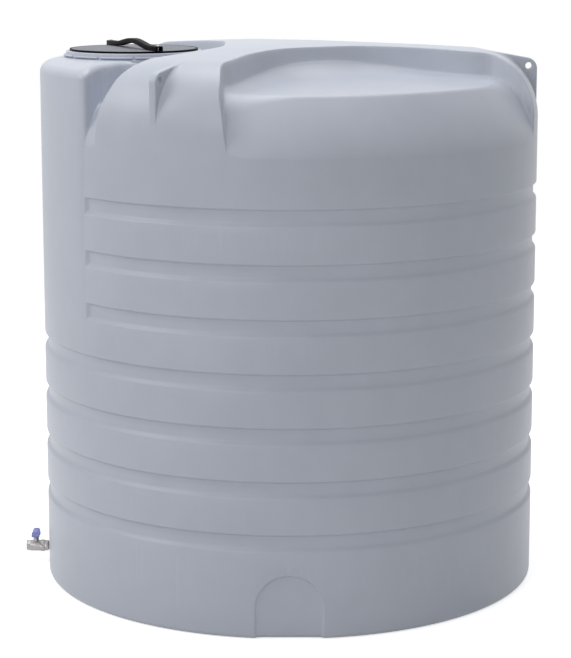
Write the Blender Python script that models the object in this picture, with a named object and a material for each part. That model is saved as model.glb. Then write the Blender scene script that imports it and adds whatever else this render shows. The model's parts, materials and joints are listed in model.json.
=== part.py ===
# Round polyethylene rainwater tank with a top strainer and a base ball valve.
# Metres, +Z up. The origin is the centre of the base on the ground.
# The front of the tank, with the inlet tower and the valve, faces -Y.
import math

import bmesh
import bpy
from mathutils import Matrix, Vector

# Gap between two pieces that touch
CLEARANCE = 0.0003

# Tank shell
TANK_RADIUS = 0.917
CROWN_HEIGHT = 1.985
WALL = 0.008
SEGMENTS = 48
BASE_ROUND = 0.018
CROWN_SAG = 0.051
SHOULDER_REACH = 0.217
SHOULDER_START = TANK_RADIUS - SHOULDER_REACH
SHOULDER_HEIGHT = 0.240

# Arched recesses at the base
ARCH_ANGLES = (0.0, 90.0, 180.0, 270.0)
ARCH_HALF_WIDTH = 0.117
ARCH_HEIGHT = 0.225
ARCH_FACE = TANK_RADIUS - 0.017
ARCH_STEPS = 12

# Hoop grooves around the wall, as many as fit between the shoulder and the arches
GROOVE_TOP = CROWN_HEIGHT - 0.526
GROOVE_PITCH = 0.186
GROOVE_LOWEST = ARCH_HEIGHT + 0.050
GROOVE_COUNT = 1 + int((GROOVE_TOP - GROOVE_LOWEST) / GROOVE_PITCH)
GROOVE_DEPTH = 0.012
GROOVE_FLOOR = 0.037

# Two scooped recesses in the top, either side of the rear rib
SCOOP_ANGLES = (120.0, 240.0)
SCOOP_HALF_ANGLE = 46.5
SCOOP_INNER = 0.240
SCOOP_FULL = TANK_RADIUS - 0.297
SCOOP_FLOOR_IN = CROWN_HEIGHT - 0.051
SCOOP_FLOOR_OUT = CROWN_HEIGHT - 0.135
SCOOP_LIP = TANK_RADIUS - 0.032
SCOOP_LIP_ANGLE = 45.0
SCOOP_FOOT = CROWN_HEIGHT - 0.385
SCOOP_FOOT_ANGLE = 38.0
SCOOP_STEPS = (0.003, 0.030, 0.110, 0.250)
SCOOP_WALL_SHARES = (0.0, 0.40, 0.74, 1.0)
LIP_ROUND = 0.020
LIP_DROP = 0.006
FLANK_ANGLE = 1.0
RUN_OUT = 0.004

# Inlet neck on its tower
NECK_CENTRE = TANK_RADIUS - 0.343
NECK_RADIUS = 0.250
NECK_WALL = 0.024
NECK_BORE = NECK_RADIUS - NECK_WALL
NECK_RIM = CROWN_HEIGHT - 0.027
NECK_COLLAR = NECK_RADIUS + 0.022
NECK_OVERLAP = 0.020
KEY_COUNT = 12
KEY_REACH = 0.006
KEY_ROOT = 0.004
KEY_BOTTOM = NECK_RIM - 0.020
KEY_HEIGHT = 0.008
KEY_GAP_ANGLE = 2.0

# Inlet tower and its plain front panel
TOWER_HALF_ANGLE = 39.5
TOWER_TOP = NECK_RIM - 0.023
TOWER_ROUND = 0.045
TOWER_CORNER = 0.030
PANEL_BOTTOM = GROOVE_TOP - 0.464
PANEL_PROUD = 0.0004

# Recess around the inlet tower
GULLY_HALF_ANGLE = 49.0
GULLY_INNER = NECK_CENTRE - 0.343
GULLY_FULL = TANK_RADIUS - 0.217
GULLY_FLOOR_IN = CROWN_HEIGHT - 0.085
GULLY_FOOT = CROWN_HEIGHT - 0.415
GULLY_FOOT_ANGLE = 40.5
GULLY_STEPS = (0.004, 0.040, 0.120, 0.240, 0.380, 0.500, 0.600)
GULLY_BEND = 2.2

# Lifting lugs on the three ribs
LUG_ANGLES = (60.0, 180.0, 300.0)
LUG_THICKNESS = 0.027
LUG_EDGE = TANK_RADIUS - 0.0015
LUG_CORNER = 0.041
LUG_CORNER_HEIGHT = CROWN_HEIGHT - 0.095
LUG_HOLE = 0.025
LUG_HOLE_RADIUS = LUG_EDGE - 0.031
LUG_HOLE_HEIGHT = LUG_CORNER_HEIGHT + 0.011
LUG_TOP_START = SHOULDER_START + 0.035
LUG_FOOT = CROWN_HEIGHT - 0.285

# Strainer in the inlet neck
STRAINER_RADIUS = NECK_RADIUS - 0.013
STRAINER_FLANGE = 0.0070
STRAINER_SKIRT = 0.095
STRAINER_WALL = 0.004
MESH_RADIUS = STRAINER_RADIUS - 0.008
MESH_THICKNESS = 0.002
SPOKE_COUNT = 8
SPOKE_WIDTH = 0.006
SPOKE_DEPTH = 0.014
SPOKE_SET_IN = 0.0005
HUB_RADIUS = 0.030

# Strap handle across the strainer
STRAP_TURN = 27.0
STRAP_WIDTH = 0.028
STRAP_DEPTH = 0.017
STRAP_SKIN = 0.004
STRAP_RISE = 0.019
STRAP_HALF_LENGTH = STRAINER_RADIUS - 0.0025
STRAP_HUMP_SHARE = 0.72
STRAP_CHAMFER = 0.0025
STRAP_STATIONS = 17
SCREW_SPAN = STRAP_HALF_LENGTH - 0.0115
SCREW_RADIUS = 0.003
SCREW_HEAD_RADIUS = 0.006
SCREW_HEAD = 0.003

# Outlet fitting through the wall
VALVE_HEIGHT = 0.060
SHANK_RADIUS = 0.0200
SHANK_SPARE = 0.0124
HOLE_EASE = 0.0008
THREAD_RADIUS = 0.01485
THREAD_BORE = THREAD_RADIUS + CLEARANCE
FLANGE_FLATS = 0.052
FLANGE_THICKNESS = 0.007
GASKET_THICKNESS = 0.003
GASKET_RADIUS = 0.028
LOCKNUT_THICKNESS = 0.010
FITTING_BORE = 0.013
THREAD_DEPTH = 0.017
FLANGE_IN = ARCH_FACE + GASKET_THICKNESS + 2 * CLEARANCE
FLANGE_OUT = FLANGE_IN + FLANGE_THICKNESS

# Nipple between fitting and valve
NIPPLE_FLATS = 0.036
NIPPLE_HEX_LENGTH = 0.0145
NIPPLE_SHOWING = 0.0151
NIPPLE_BORE = 0.0110

# Ball valve, measured outwards from its inlet face
VALVE_INLET = FLANGE_OUT + NIPPLE_SHOWING + NIPPLE_HEX_LENGTH + CLEARANCE
VALVE_LENGTH = 0.0685
VALVE_HEX_FLATS = 0.040
VALVE_HEX_LENGTH = 0.0150
VALVE_BARREL = 0.0210
VALVE_BARREL_END = 0.0540
VALVE_SOCKET_DEPTH = 0.0135
VALVE_END_FLATS = 0.036
VALVE_END_SOCKET = 0.0120
BALL_RADIUS = 0.0150
BALL_BORE = 0.0100
BALL_POSITION = 0.0330
CAVITY_RADIUS = BALL_RADIUS + 0.0008
WEB_BORE = BALL_BORE + 0.0005
SEAT_FACE = 0.0100
SEAT_LENGTH = 0.0060
SEAT_EASE = 0.0001
BONNET_RADIUS = 0.0105
BONNET_TOP = 0.0300
STEM_RADIUS = 0.0040
STEM_COLLAR = STEM_RADIUS + 0.0018
STEM_COLLAR_HEIGHT = 0.0025
STEM_CHAMFER = 0.0008
TANG_WIDTH = 0.0034
TANG_LENGTH = 0.0095
TANG_DEPTH = 0.0035
WASHER_THICKNESS = 0.0007
PACKING_RADIUS = STEM_RADIUS + 0.0025
PACKING_FLOOR = BONNET_TOP - 0.0060
PACKING_HEIGHT = 0.0035
GLAND_FLATS = 0.0165
GLAND_HEAD = 0.0042

# Butterfly handle
HANDLE_HUB = 0.0085
HANDLE_PLATE = 0.0028
HANDLE_REACH = 0.0165
EAR_HEIGHT = 0.0270
EAR_BASE = 0.0310
EAR_TIP = 0.0180
EAR_LEAN = 20.0
HANDLE_NUT_FLATS = 0.0130
HANDLE_NUT_HEIGHT = 0.0050
STEM_SPARE = 0.0051
HANDLE_SEAT = BONNET_TOP + GLAND_HEAD + 2 * CLEARANCE
STEM_TOP = HANDLE_SEAT + HANDLE_PLATE + CLEARANCE + HANDLE_NUT_HEIGHT + STEM_SPARE

# How far cutters reach past what they cut
SOLID_TOP = CROWN_HEIGHT + 0.215
OUTSIDE = TANK_RADIUS + 0.233
OVERCUT = 0.010

# How deep two joined lengths of one piece run into each other
JOIN = 0.002


def clear_scene():
    for obj in list(bpy.data.objects):
        bpy.data.objects.remove(obj, do_unlink=True)


def make_material(name, colour, roughness, metallic=0.0):
    material = bpy.data.materials.new(name)
    material.use_nodes = True
    shader = material.node_tree.nodes["Principled BSDF"]
    shader.inputs["Base Color"].default_value = (*colour, 1.0)
    shader.inputs["Roughness"].default_value = roughness
    shader.inputs["Metallic"].default_value = metallic
    return material


def add_object(name, bm, material=None, smooth_angle=None):
    """Make one object from a bmesh whose faces are turned outwards first."""
    bmesh.ops.recalc_face_normals(bm, faces=bm.faces)
    mesh = bpy.data.meshes.new(name)
    bm.to_mesh(mesh)
    bm.free()
    obj = bpy.data.objects.new(name, mesh)
    bpy.context.collection.objects.link(obj)
    if material:
        mesh.materials.append(material)
    if smooth_angle:
        mesh.shade_smooth()
        mesh.set_sharp_from_angle(angle=math.radians(smooth_angle))
    return obj


def as_cutter(obj):
    obj.hide_render = True
    obj.display_type = 'WIRE'
    return obj


def boolean(target, tool, operation='DIFFERENCE'):
    modifier = target.modifiers.new(tool.name, 'BOOLEAN')
    modifier.object = tool
    modifier.operation = operation
    modifier.solver = 'EXACT'
    return modifier


def loft(bm, loops, closed_ends=True):
    """Skin loops of equal length in order and cap the first and the last one."""
    rings = [[bm.verts.new(point) for point in loop] for loop in loops]
    for lower, upper in zip(rings, rings[1:]):
        count = len(lower)
        for i in range(count):
            j = (i + 1) % count
            bm.faces.new((lower[i], lower[j], upper[j], upper[i]))
    if closed_ends:
        bm.faces.new(list(reversed(rings[0])))
        bm.faces.new(rings[-1])
    return rings


def turned(bm, profile, segments, closed=False, phase=0.0):
    """Turn a profile of (radius, height) points about Z. Zero radius is a pole."""
    rings = []
    for radius, height in profile:
        if radius < 1e-6:
            rings.append([bm.verts.new((0.0, 0.0, height))])
            continue
        ring = []
        for k in range(segments):
            angle = 2.0 * math.pi * k / segments + phase
            ring.append(bm.verts.new((radius * math.cos(angle), radius * math.sin(angle), height)))
        rings.append(ring)
    pairs = list(zip(rings, rings[1:]))
    if closed:
        pairs.append((rings[-1], rings[0]))
    for a, b in pairs:
        for i in range(segments):
            j = (i + 1) % segments
            if len(a) == 1:
                bm.faces.new((a[0], b[j], b[i]))
            elif len(b) == 1:
                bm.faces.new((a[i], a[j], b[0]))
            else:
                bm.faces.new((a[i], a[j], b[j], b[i]))


def along_front(bm, centre_height):
    """Lay a shape turned about Z along the valve axis, its Z running outwards to -Y."""
    bmesh.ops.rotate(bm, verts=bm.verts, cent=(0, 0, 0), matrix=Matrix.Rotation(math.pi / 2, 3, 'X'))
    bmesh.ops.translate(bm, verts=bm.verts, vec=(0, 0, centre_height))


def polar(angle_degrees, radius, height):
    """A point by its angle from the front, measured towards +X."""
    angle = math.radians(angle_degrees)
    return Vector((radius * math.sin(angle), -radius * math.cos(angle), height))


def shoulder_point(angle, offset):
    """A point on the rounded shoulder, at 0 on the wall and 90 on the top."""
    top = CROWN_HEIGHT - CROWN_SAG * SHOULDER_START ** 2
    radius = SHOULDER_START + (SHOULDER_REACH - offset) * math.cos(math.radians(angle))
    height = top - SHOULDER_HEIGHT + (SHOULDER_HEIGHT - offset) * math.sin(math.radians(angle))
    return radius, height


def body_profile(offset):
    """The turned outline of the shell, moved inwards by the offset."""
    radius = TANK_RADIUS - offset
    base = BASE_ROUND - 0.5 * offset
    profile = [(0.0, offset), (radius - base, offset)]
    profile.append((radius - 0.293 * base, offset + 0.293 * base))
    profile.append((radius, offset + base))
    widen = offset * (math.sqrt(2.0) - 1.0)
    for k in reversed(range(GROOVE_COUNT)):
        centre = GROOVE_TOP - k * GROOVE_PITCH
        floor = GROOVE_FLOOR / 2 + widen
        mouth = floor + GROOVE_DEPTH
        profile.append((radius, centre - mouth))
        profile.append((radius - GROOVE_DEPTH, centre - floor))
        profile.append((radius - GROOVE_DEPTH, centre + floor))
        profile.append((radius, centre + mouth))
    profile += [shoulder_point(angle, offset) for angle in (0, 20, 38, 55, 72, 90)]
    for share in (0.66, 0.33):
        r = SHOULDER_START * share
        profile.append((r, CROWN_HEIGHT - CROWN_SAG * r * r - offset))
    profile.append((0.0, CROWN_HEIGHT - offset))
    return profile


def body_solid(name, offset):
    bm = bmesh.new()
    turned(bm, body_profile(offset), SEGMENTS, phase=-math.pi / 2)
    return add_object(name, bm)


def recess_cutter(name, centre_angle, stations, columns=9):
    """A cutter whose floor follows stations of (radius, height, half angle, top half angle)."""
    bm = bmesh.new()
    floor, ceiling = [], []
    lip = next(i for i, s in enumerate(stations) if s[4])
    for i, (radius, height, half, half_top, _) in enumerate(stations):
        shares = [2.0 * j / (columns - 1) - 1.0 for j in range(columns)]
        floor.append([bm.verts.new(polar(centre_angle + half * s, radius, height)) for s in shares])
        out_radius = radius if i < lip else OUTSIDE
        out_height = SOLID_TOP if i <= lip else height
        ceiling.append([bm.verts.new(polar(centre_angle + half_top * s, out_radius, out_height))
                        for s in shares])
    rows = len(stations)
    for grid in (floor, ceiling):
        for i in range(rows - 1):
            for j in range(columns - 1):
                bm.faces.new((grid[i][j], grid[i + 1][j], grid[i + 1][j + 1], grid[i][j + 1]))
    for i in range(rows - 1):
        for j in (0, columns - 1):
            bm.faces.new((floor[i][j], floor[i + 1][j], ceiling[i + 1][j], ceiling[i][j]))
    for i in (0, rows - 1):
        for j in range(columns - 1):
            bm.faces.new((floor[i][j], floor[i][j + 1], ceiling[i][j + 1], ceiling[i][j]))
    return as_cutter(add_object(name, bm))


def rounded_half_angle(radius, inner, full, half_angle, power):
    """Half angle of a recess that closes in a rounded end at its inner radius."""
    share = max(0.0, (full - radius) / (full - inner))
    return half_angle * (1.0 - share ** power) ** (1.0 / power)


def scoop_cutter(name, centre_angle, offset):
    """Scoop between two ribs: a sloping floor, a lip, and a wall that leans out to its foot."""
    grow = math.degrees(offset / TANK_RADIUS)
    slope = (SCOOP_FLOOR_IN - SCOOP_FLOOR_OUT) / (SCOOP_LIP - SCOOP_INNER)
    lip = SCOOP_LIP - offset
    radii = [SCOOP_INNER - offset + step for step in SCOOP_STEPS] + [SCOOP_FULL, lip - LIP_ROUND]
    stations = []
    for radius in radii:
        half = rounded_half_angle(radius, SCOOP_INNER - offset, SCOOP_FULL, SCOOP_HALF_ANGLE, 3) + grow
        height = SCOOP_FLOOR_IN - slope * (radius - SCOOP_INNER) - offset
        stations.append((radius, height, half - FLANK_ANGLE, half, False))
    lip_height = SCOOP_FLOOR_OUT - LIP_DROP - offset
    fall = lip_height - SCOOP_FOOT
    lean = TANK_RADIUS + RUN_OUT - SCOOP_LIP
    turn = SCOOP_LIP_ANGLE - SCOOP_FOOT_ANGLE
    for i, share in enumerate(SCOOP_WALL_SHARES):
        radius = lip + lean * share
        half = SCOOP_FOOT_ANGLE + turn * (1.0 - share ** 2) + grow
        stations.append((radius, lip_height - fall * share, half, half, i == 0))
    return recess_cutter(name, centre_angle, stations)


def gully_cutter(name, offset):
    """Gully around the inlet tower, deepest where it runs out through the wall."""
    grow = math.degrees(offset / TANK_RADIUS)
    stations = []
    fall = GULLY_FLOOR_IN - GULLY_FOOT
    last = TANK_RADIUS + RUN_OUT - offset
    radii = [GULLY_INNER - offset + step for step in GULLY_STEPS] + [last]
    for radius in radii:
        share = (radius - GULLY_INNER + offset) / (last - GULLY_INNER + offset)
        half = rounded_half_angle(radius, GULLY_INNER - offset, GULLY_FULL, GULLY_HALF_ANGLE, 2) + grow
        floor_half = min(half, GULLY_HALF_ANGLE - (GULLY_HALF_ANGLE - GULLY_FOOT_ANGLE) * share ** 3)
        height = GULLY_FLOOR_IN - fall * share ** GULLY_BEND - offset
        stations.append((radius, height, floor_half - FLANK_ANGLE / 2, half + 1.5 * FLANK_ANGLE * share,
                         radius == last))
    return recess_cutter(name, 0.0, stations)


def tower_outline(offset, inset):
    """Plan of the inlet tower: a fan on the tank wall that closes around the neck collar."""
    points = []
    radius = TANK_RADIUS + PANEL_PROUD - offset - inset
    step = 360.0 / SEGMENTS
    side = TOWER_HALF_ANGLE - math.degrees((offset + inset) / TANK_RADIUS)
    turned_in = math.degrees(TOWER_CORNER / TANK_RADIUS)
    whole = int((TOWER_HALF_ANGLE - 2 * turned_in) / step)
    points += [polar(step * k, radius, 0.0) for k in range(-whole, whole + 1)]
    corner_in = polar(side, radius - TOWER_CORNER, 0.0)
    corner_out = polar(side - turned_in, radius, 0.0)
    corner_mid = polar(side - 0.29 * turned_in, radius - 0.29 * TOWER_CORNER, 0.0)
    right = [corner_out, corner_mid, corner_in]
    collar = NECK_COLLAR - offset - 0.3 * inset
    neck = []
    for angle in range(90, 181, 15):
        turn = math.radians(angle)
        neck.append(Vector((collar * math.sin(turn), -NECK_CENTRE - collar * math.cos(turn), 0.0)))
    right += neck
    left = [Vector((-p.x, p.y, 0.0)) for p in reversed(right[:-1])]
    return points + right + left


def tower_solid(name, offset):
    """The tower and front panel, with its upper edge rounded in steps."""
    bm = bmesh.new()
    loops = []
    for drop, inset in ((None, 0.0), (1.0, 0.0), (0.35, 0.22), (0.08, 0.60), (0.0, 1.0)):
        height = PANEL_BOTTOM + offset if drop is None else TOWER_TOP - offset - TOWER_ROUND * drop
        outline = tower_outline(offset, inset * TOWER_ROUND)
        loops.append([(p.x, p.y, height) for p in outline])
    loft(bm, loops)
    return as_cutter(add_object(name, bm))


def cylinder(name, radius, bottom, top, segments, centre=(0.0, 0.0), phase=0.0):
    bm = bmesh.new()
    turned(bm, [(0, bottom), (radius, bottom), (radius, top), (0, top)], segments, phase=phase)
    bmesh.ops.translate(bm, verts=bm.verts, vec=(centre[0], centre[1], 0.0))
    return as_cutter(add_object(name, bm))


def stepped_cutter(name, steps, end, segments, upright_at=None, phase=0.0):
    """Bores of different widths on one axis, as (start, radius) steps up to a common end."""
    profile = [(0.0, steps[0][0])]
    for (start, radius), following in zip(steps, steps[1:] + [(end, 0.0)]):
        profile += [(radius, start), (radius, following[0])]
    profile.append((0.0, end))
    bm = bmesh.new()
    turned(bm, profile, segments, phase=phase)
    if upright_at is None:
        along_front(bm, VALVE_HEIGHT)
    else:
        bmesh.ops.translate(bm, verts=bm.verts, vec=(upright_at[0], upright_at[1], 0.0))
    return as_cutter(add_object(name, bm))


def arch_cutter(name, angle, offset):
    """Arched recess with a flat upright face, open to the ground."""
    half = ARCH_HALF_WIDTH + offset
    spring = ARCH_HEIGHT - ARCH_HALF_WIDTH
    outline = [(-half, -ARCH_HEIGHT), (half, -ARCH_HEIGHT)]
    for k in range(ARCH_STEPS + 1):
        turn = math.pi * k / ARCH_STEPS
        outline.append((half * math.cos(turn), spring + half * math.sin(turn)))
    bm = bmesh.new()
    face = ARCH_FACE - offset
    loops = [[(x, -depth, z) for x, z in outline] for depth in (face, OUTSIDE)]
    loft(bm, loops)
    bmesh.ops.rotate(bm, verts=bm.verts, cent=(0, 0, 0), matrix=Matrix.Rotation(math.radians(angle), 3, 'Z'))
    return as_cutter(add_object(name, bm))


def lug_solid(name, angle):
    """Upright web on a rib end, with a rounded outer corner and a lifting hole."""
    bm = bmesh.new()
    outline = [shoulder_point(a, WALL / 2) for a in (78, 60, 40, 20, 0)]
    outline.append((TANK_RADIUS - WALL / 2, LUG_FOOT))
    outline.append((LUG_EDGE, LUG_FOOT + LUG_CORNER / 2))
    corner = LUG_EDGE - LUG_CORNER
    for k in range(7):
        turn = math.radians(15.0 * k)
        outline.append((corner + LUG_CORNER * math.cos(turn), LUG_CORNER_HEIGHT + LUG_CORNER * math.sin(turn)))
    top = CROWN_HEIGHT - CROWN_SAG * SHOULDER_START ** 2
    outline.append((LUG_TOP_START, top - WALL / 2))
    loops = []
    for side in (-0.5, 0.5):
        loops.append([(side * LUG_THICKNESS, -r, z) for r, z in outline])
    loft(bm, loops)
    turn = Matrix.Rotation(math.radians(angle), 3, 'Z')
    bmesh.ops.rotate(bm, verts=bm.verts, cent=(0, 0, 0), matrix=turn)
    lug = as_cutter(add_object(name, bm))
    hole = bmesh.new()
    reach = 2 * LUG_THICKNESS
    turned(hole, [(0, -reach), (LUG_HOLE / 2, -reach), (LUG_HOLE / 2, reach), (0, reach)], 16)
    bmesh.ops.rotate(hole, verts=hole.verts, cent=(0, 0, 0), matrix=Matrix.Rotation(math.pi / 2, 3, 'Y'))
    bmesh.ops.translate(hole, verts=hole.verts, vec=(0, -LUG_HOLE_RADIUS, LUG_HOLE_HEIGHT))
    bmesh.ops.rotate(hole, verts=hole.verts, cent=(0, 0, 0), matrix=turn)
    boolean(lug, as_cutter(add_object(name + "_hole", hole)))
    return lug


def key_ring(name):
    """Ring of moulded keys around the neck, parted by narrow gaps."""
    bm = bmesh.new()
    pitch = 2.0 * math.pi / KEY_COUNT
    gap = math.radians(KEY_GAP_ANGLE)
    for k in range(KEY_COUNT):
        start, end = k * pitch + gap / 2, (k + 1) * pitch - gap / 2
        loops = []
        for share in (0.0, 0.5, 1.0):
            angle = start + (end - start) * share
            loop = []
            root, tip = NECK_RADIUS - KEY_ROOT, NECK_RADIUS + KEY_REACH
            for radius, height in ((root, 0.0), (tip, 0.0), (tip, 1.0), (root, 1.0)):
                loop.append((radius * math.cos(angle), radius * math.sin(angle) - NECK_CENTRE,
                             KEY_BOTTOM + KEY_HEIGHT * height))
            loops.append(loop)
        loft(bm, loops)
    return as_cutter(add_object(name, bm))


def shell_features(target, prefix, offset):
    """Cut and add what shapes the turned shell, at the outer skin or offset for the cavity."""
    for k, angle in enumerate(SCOOP_ANGLES):
        boolean(target, scoop_cutter(f"{prefix}_scoop_{k + 1}", angle, offset))
    boolean(target, gully_cutter(f"{prefix}_gully", offset))
    boolean(target, tower_solid(f"{prefix}_tower", offset), 'UNION')
    for k, angle in enumerate(ARCH_ANGLES):
        boolean(target, arch_cutter(f"{prefix}_arch_{k + 1}", angle, offset))


def build_tank(material):
    """One rotomoulded shell: outer skin less its own cavity, with the solid lugs joined on."""
    tank = body_solid("tank_body", 0.0)
    tank.data.materials.append(material)
    shell_features(tank, "skin", 0.0)
    neck = cylinder("skin_neck", NECK_RADIUS, TOWER_TOP - NECK_OVERLAP, NECK_RIM, SEGMENTS,
                    (0.0, -NECK_CENTRE), phase=math.pi / SEGMENTS)
    boolean(tank, neck, 'UNION')
    for k, angle in enumerate(LUG_ANGLES):
        boolean(tank, lug_solid(f"lug_{k + 1}", angle), 'UNION')
    boolean(tank, key_ring("neck_keys"), 'UNION')
    cavity = as_cutter(body_solid("cavity", WALL))
    shell_features(cavity, "cavity", WALL)
    bore = cylinder("neck_bore", NECK_BORE, TOWER_TOP - WALL - NECK_OVERLAP, SOLID_TOP, SEGMENTS,
                    (0.0, -NECK_CENTRE))
    boolean(cavity, bore, 'UNION')
    boolean(tank, cavity)
    boolean(tank, stepped_cutter("outlet_hole", [(ARCH_FACE - OVERCUT, SHANK_RADIUS + HOLE_EASE)],
                                 ARCH_FACE + OVERCUT, 32))
    return tank


def ring_piece(name, profile, segments, material, lay_along=None, centre=(0.0, 0.0), smooth=35):
    """A turned ring from a closed profile, upright or laid along the valve axis."""
    bm = bmesh.new()
    turned(bm, profile, segments, closed=True)
    if lay_along is not None:
        along_front(bm, lay_along)
    else:
        bmesh.ops.translate(bm, verts=bm.verts, vec=(centre[0], centre[1], 0.0))
    return add_object(name, bm, material, smooth)


def hexagon(flats, turn=0.0):
    radius = flats / math.sqrt(3.0)
    return [(radius * math.cos(math.radians(60 * k + turn)), radius * math.sin(math.radians(60 * k + turn)))
            for k in range(6)]


def hex_prism(flats, bottom, top, turn=0.0):
    bm = bmesh.new()
    loops = [[(x, y, z) for x, y in hexagon(flats, turn)] for z in (bottom, top)]
    loft(bm, loops)
    return bm


def build_strainer(black, steel_mesh, screw_steel):
    """Moulded ring with a skirt and spokes, its mesh disc, and the strap handle with two screws."""
    seat = NECK_RIM + CLEARANCE
    top = seat + STRAINER_FLANGE
    rebate = top - MESH_THICKNESS - 2 * CLEARANCE
    skirt_out = NECK_BORE - 2 * CLEARANCE
    skirt_in = skirt_out - STRAINER_WALL
    skirt_low = NECK_RIM - STRAINER_SKIRT
    inner = skirt_in - STRAINER_WALL
    profile = [(STRAINER_RADIUS, top), (MESH_RADIUS + CLEARANCE, top), (MESH_RADIUS + CLEARANCE, rebate),
               (inner, rebate), (inner, seat), (skirt_in, seat - 1.5 * STRAINER_WALL), (skirt_in, skirt_low),
               (skirt_out, skirt_low), (skirt_out, seat), (STRAINER_RADIUS, seat)]
    centre = (0.0, -NECK_CENTRE)
    basket = ring_piece("strainer_basket", profile, SEGMENTS, black, centre=centre)
    spokes = bmesh.new()
    for k in range(SPOKE_COUNT // 2):
        bar = bmesh.ops.create_cube(spokes, size=1.0)["verts"]
        bmesh.ops.scale(spokes, verts=bar, vec=(2 * skirt_in + STRAINER_WALL, SPOKE_WIDTH, SPOKE_DEPTH))
        turn = Matrix.Rotation(math.radians(STRAP_TURN) + 2 * math.pi * k / SPOKE_COUNT, 3, 'Z')
        bmesh.ops.rotate(spokes, verts=bar, cent=(0, 0, 0), matrix=turn)
        low = skirt_low + SPOKE_DEPTH / 2 + SPOKE_SET_IN
        bmesh.ops.translate(spokes, verts=bar, vec=(0, -NECK_CENTRE, low))
    boolean(basket, as_cutter(add_object("strainer_spokes", spokes)), 'UNION').use_self = True
    hub = cylinder("strainer_hub", HUB_RADIUS, skirt_low + 3 * SPOKE_SET_IN,
                   skirt_low + SPOKE_DEPTH - 2 * SPOKE_SET_IN, 24, centre)
    boolean(basket, hub, 'UNION')

    disc = bmesh.new()
    low = rebate + CLEARANCE
    turned(disc, [(0, low), (MESH_RADIUS, low), (MESH_RADIUS, low + MESH_THICKNESS),
                  (0, low + MESH_THICKNESS)], SEGMENTS)
    bmesh.ops.translate(disc, verts=disc.verts, vec=(centre[0], centre[1], 0.0))
    add_object("strainer_mesh", disc, steel_mesh, 35)
    build_strap(black, top)
    for k, side in enumerate((-1, 1)):
        build_screw(f"handle_screw_{k + 1}", side, top, screw_steel)


def strap_height(position):
    """Rise of the strap's underside along its length, flat at the feet and humped between."""
    share = min(1.0, abs(position) / (STRAP_HUMP_SHARE * STRAP_HALF_LENGTH))
    return STRAP_RISE * 0.5 * (1.0 + math.cos(math.pi * share))


def build_strap(material, seat):
    """Channel-section strap handle, open underneath, that spans the strainer rim to rim."""
    bm = bmesh.new()
    half = STRAP_WIDTH / 2
    inside = half - STRAP_SKIN
    loops = []
    low = seat + CLEARANCE
    for k in range(STRAP_STATIONS):
        position = STRAP_HALF_LENGTH * (2.0 * k / (STRAP_STATIONS - 1) - 1.0)
        rise = strap_height(position)
        base = low + rise
        top = base + STRAP_DEPTH
        loop = [(position, -half, base), (position, -inside, base), (position, -inside, top - STRAP_SKIN),
                (position, inside, top - STRAP_SKIN), (position, inside, base), (position, half, base),
                (position, half, top - STRAP_CHAMFER), (position, half - STRAP_CHAMFER, top),
                (position, -half + STRAP_CHAMFER, top), (position, -half, top - STRAP_CHAMFER)]
        loops.append(loop)
    loft(bm, loops)
    turn = Matrix.Rotation(math.radians(STRAP_TURN), 3, 'Z')
    bmesh.ops.rotate(bm, verts=bm.verts, cent=(0, 0, 0), matrix=turn)
    bmesh.ops.translate(bm, verts=bm.verts, vec=(0, -NECK_CENTRE, 0))
    strap = add_object("strainer_handle", bm, material, 40)
    for k, side in enumerate((-1, 1)):
        hole = cylinder(f"strap_hole_{k + 1}", SCREW_RADIUS + CLEARANCE, seat, SOLID_TOP, 16,
                        strap_end(side))
        boolean(strap, hole)
    return strap


def strap_end(side):
    angle = math.radians(STRAP_TURN)
    return (side * SCREW_SPAN * math.cos(angle), side * SCREW_SPAN * math.sin(angle) - NECK_CENTRE)


def build_screw(name, side, seat, material):
    """Pan-head screw through the strap's top skin, its shank ending on the mesh rim."""
    top = seat + CLEARANCE + STRAP_DEPTH + strap_height(side * SCREW_SPAN)
    head = top + CLEARANCE
    profile = [(0, seat + CLEARANCE), (SCREW_RADIUS, seat + CLEARANCE), (SCREW_RADIUS, head),
               (SCREW_HEAD_RADIUS, head), (SCREW_HEAD_RADIUS, head + 0.6 * SCREW_HEAD),
               (0.6 * SCREW_HEAD_RADIUS, head + SCREW_HEAD), (0, head + SCREW_HEAD)]
    bm = bmesh.new()
    turned(bm, profile, 16)
    x, y = strap_end(side)
    bmesh.ops.translate(bm, verts=bm.verts, vec=(x, y, 0.0))
    add_object(name, bm, material, 35)


def hex_piece(name, flats, start, end, material, extras=(), bore=None, bore_end=0.0, turn=0.0):
    """A hexagon laid along the valve axis, with round lengths joined and one stepped bore cut.
    Extras hold (radius, start, end) and bore steps (start, radius), outwards from the tank axis."""
    bm = hex_prism(flats, start, end, turn)
    along_front(bm, VALVE_HEIGHT)
    piece = add_object(name, bm, material, 35)
    for k, (radius, low, high) in enumerate(extras):
        part = bmesh.new()
        turned(part, [(0, low), (radius, low), (radius, high), (0, high)], 32)
        along_front(part, VALVE_HEIGHT)
        boolean(piece, as_cutter(add_object(f"{name}_round_{k + 1}", part)), 'UNION')
    if bore:
        boolean(piece, stepped_cutter(name + "_bore", bore, bore_end, 32))
    return piece


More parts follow.
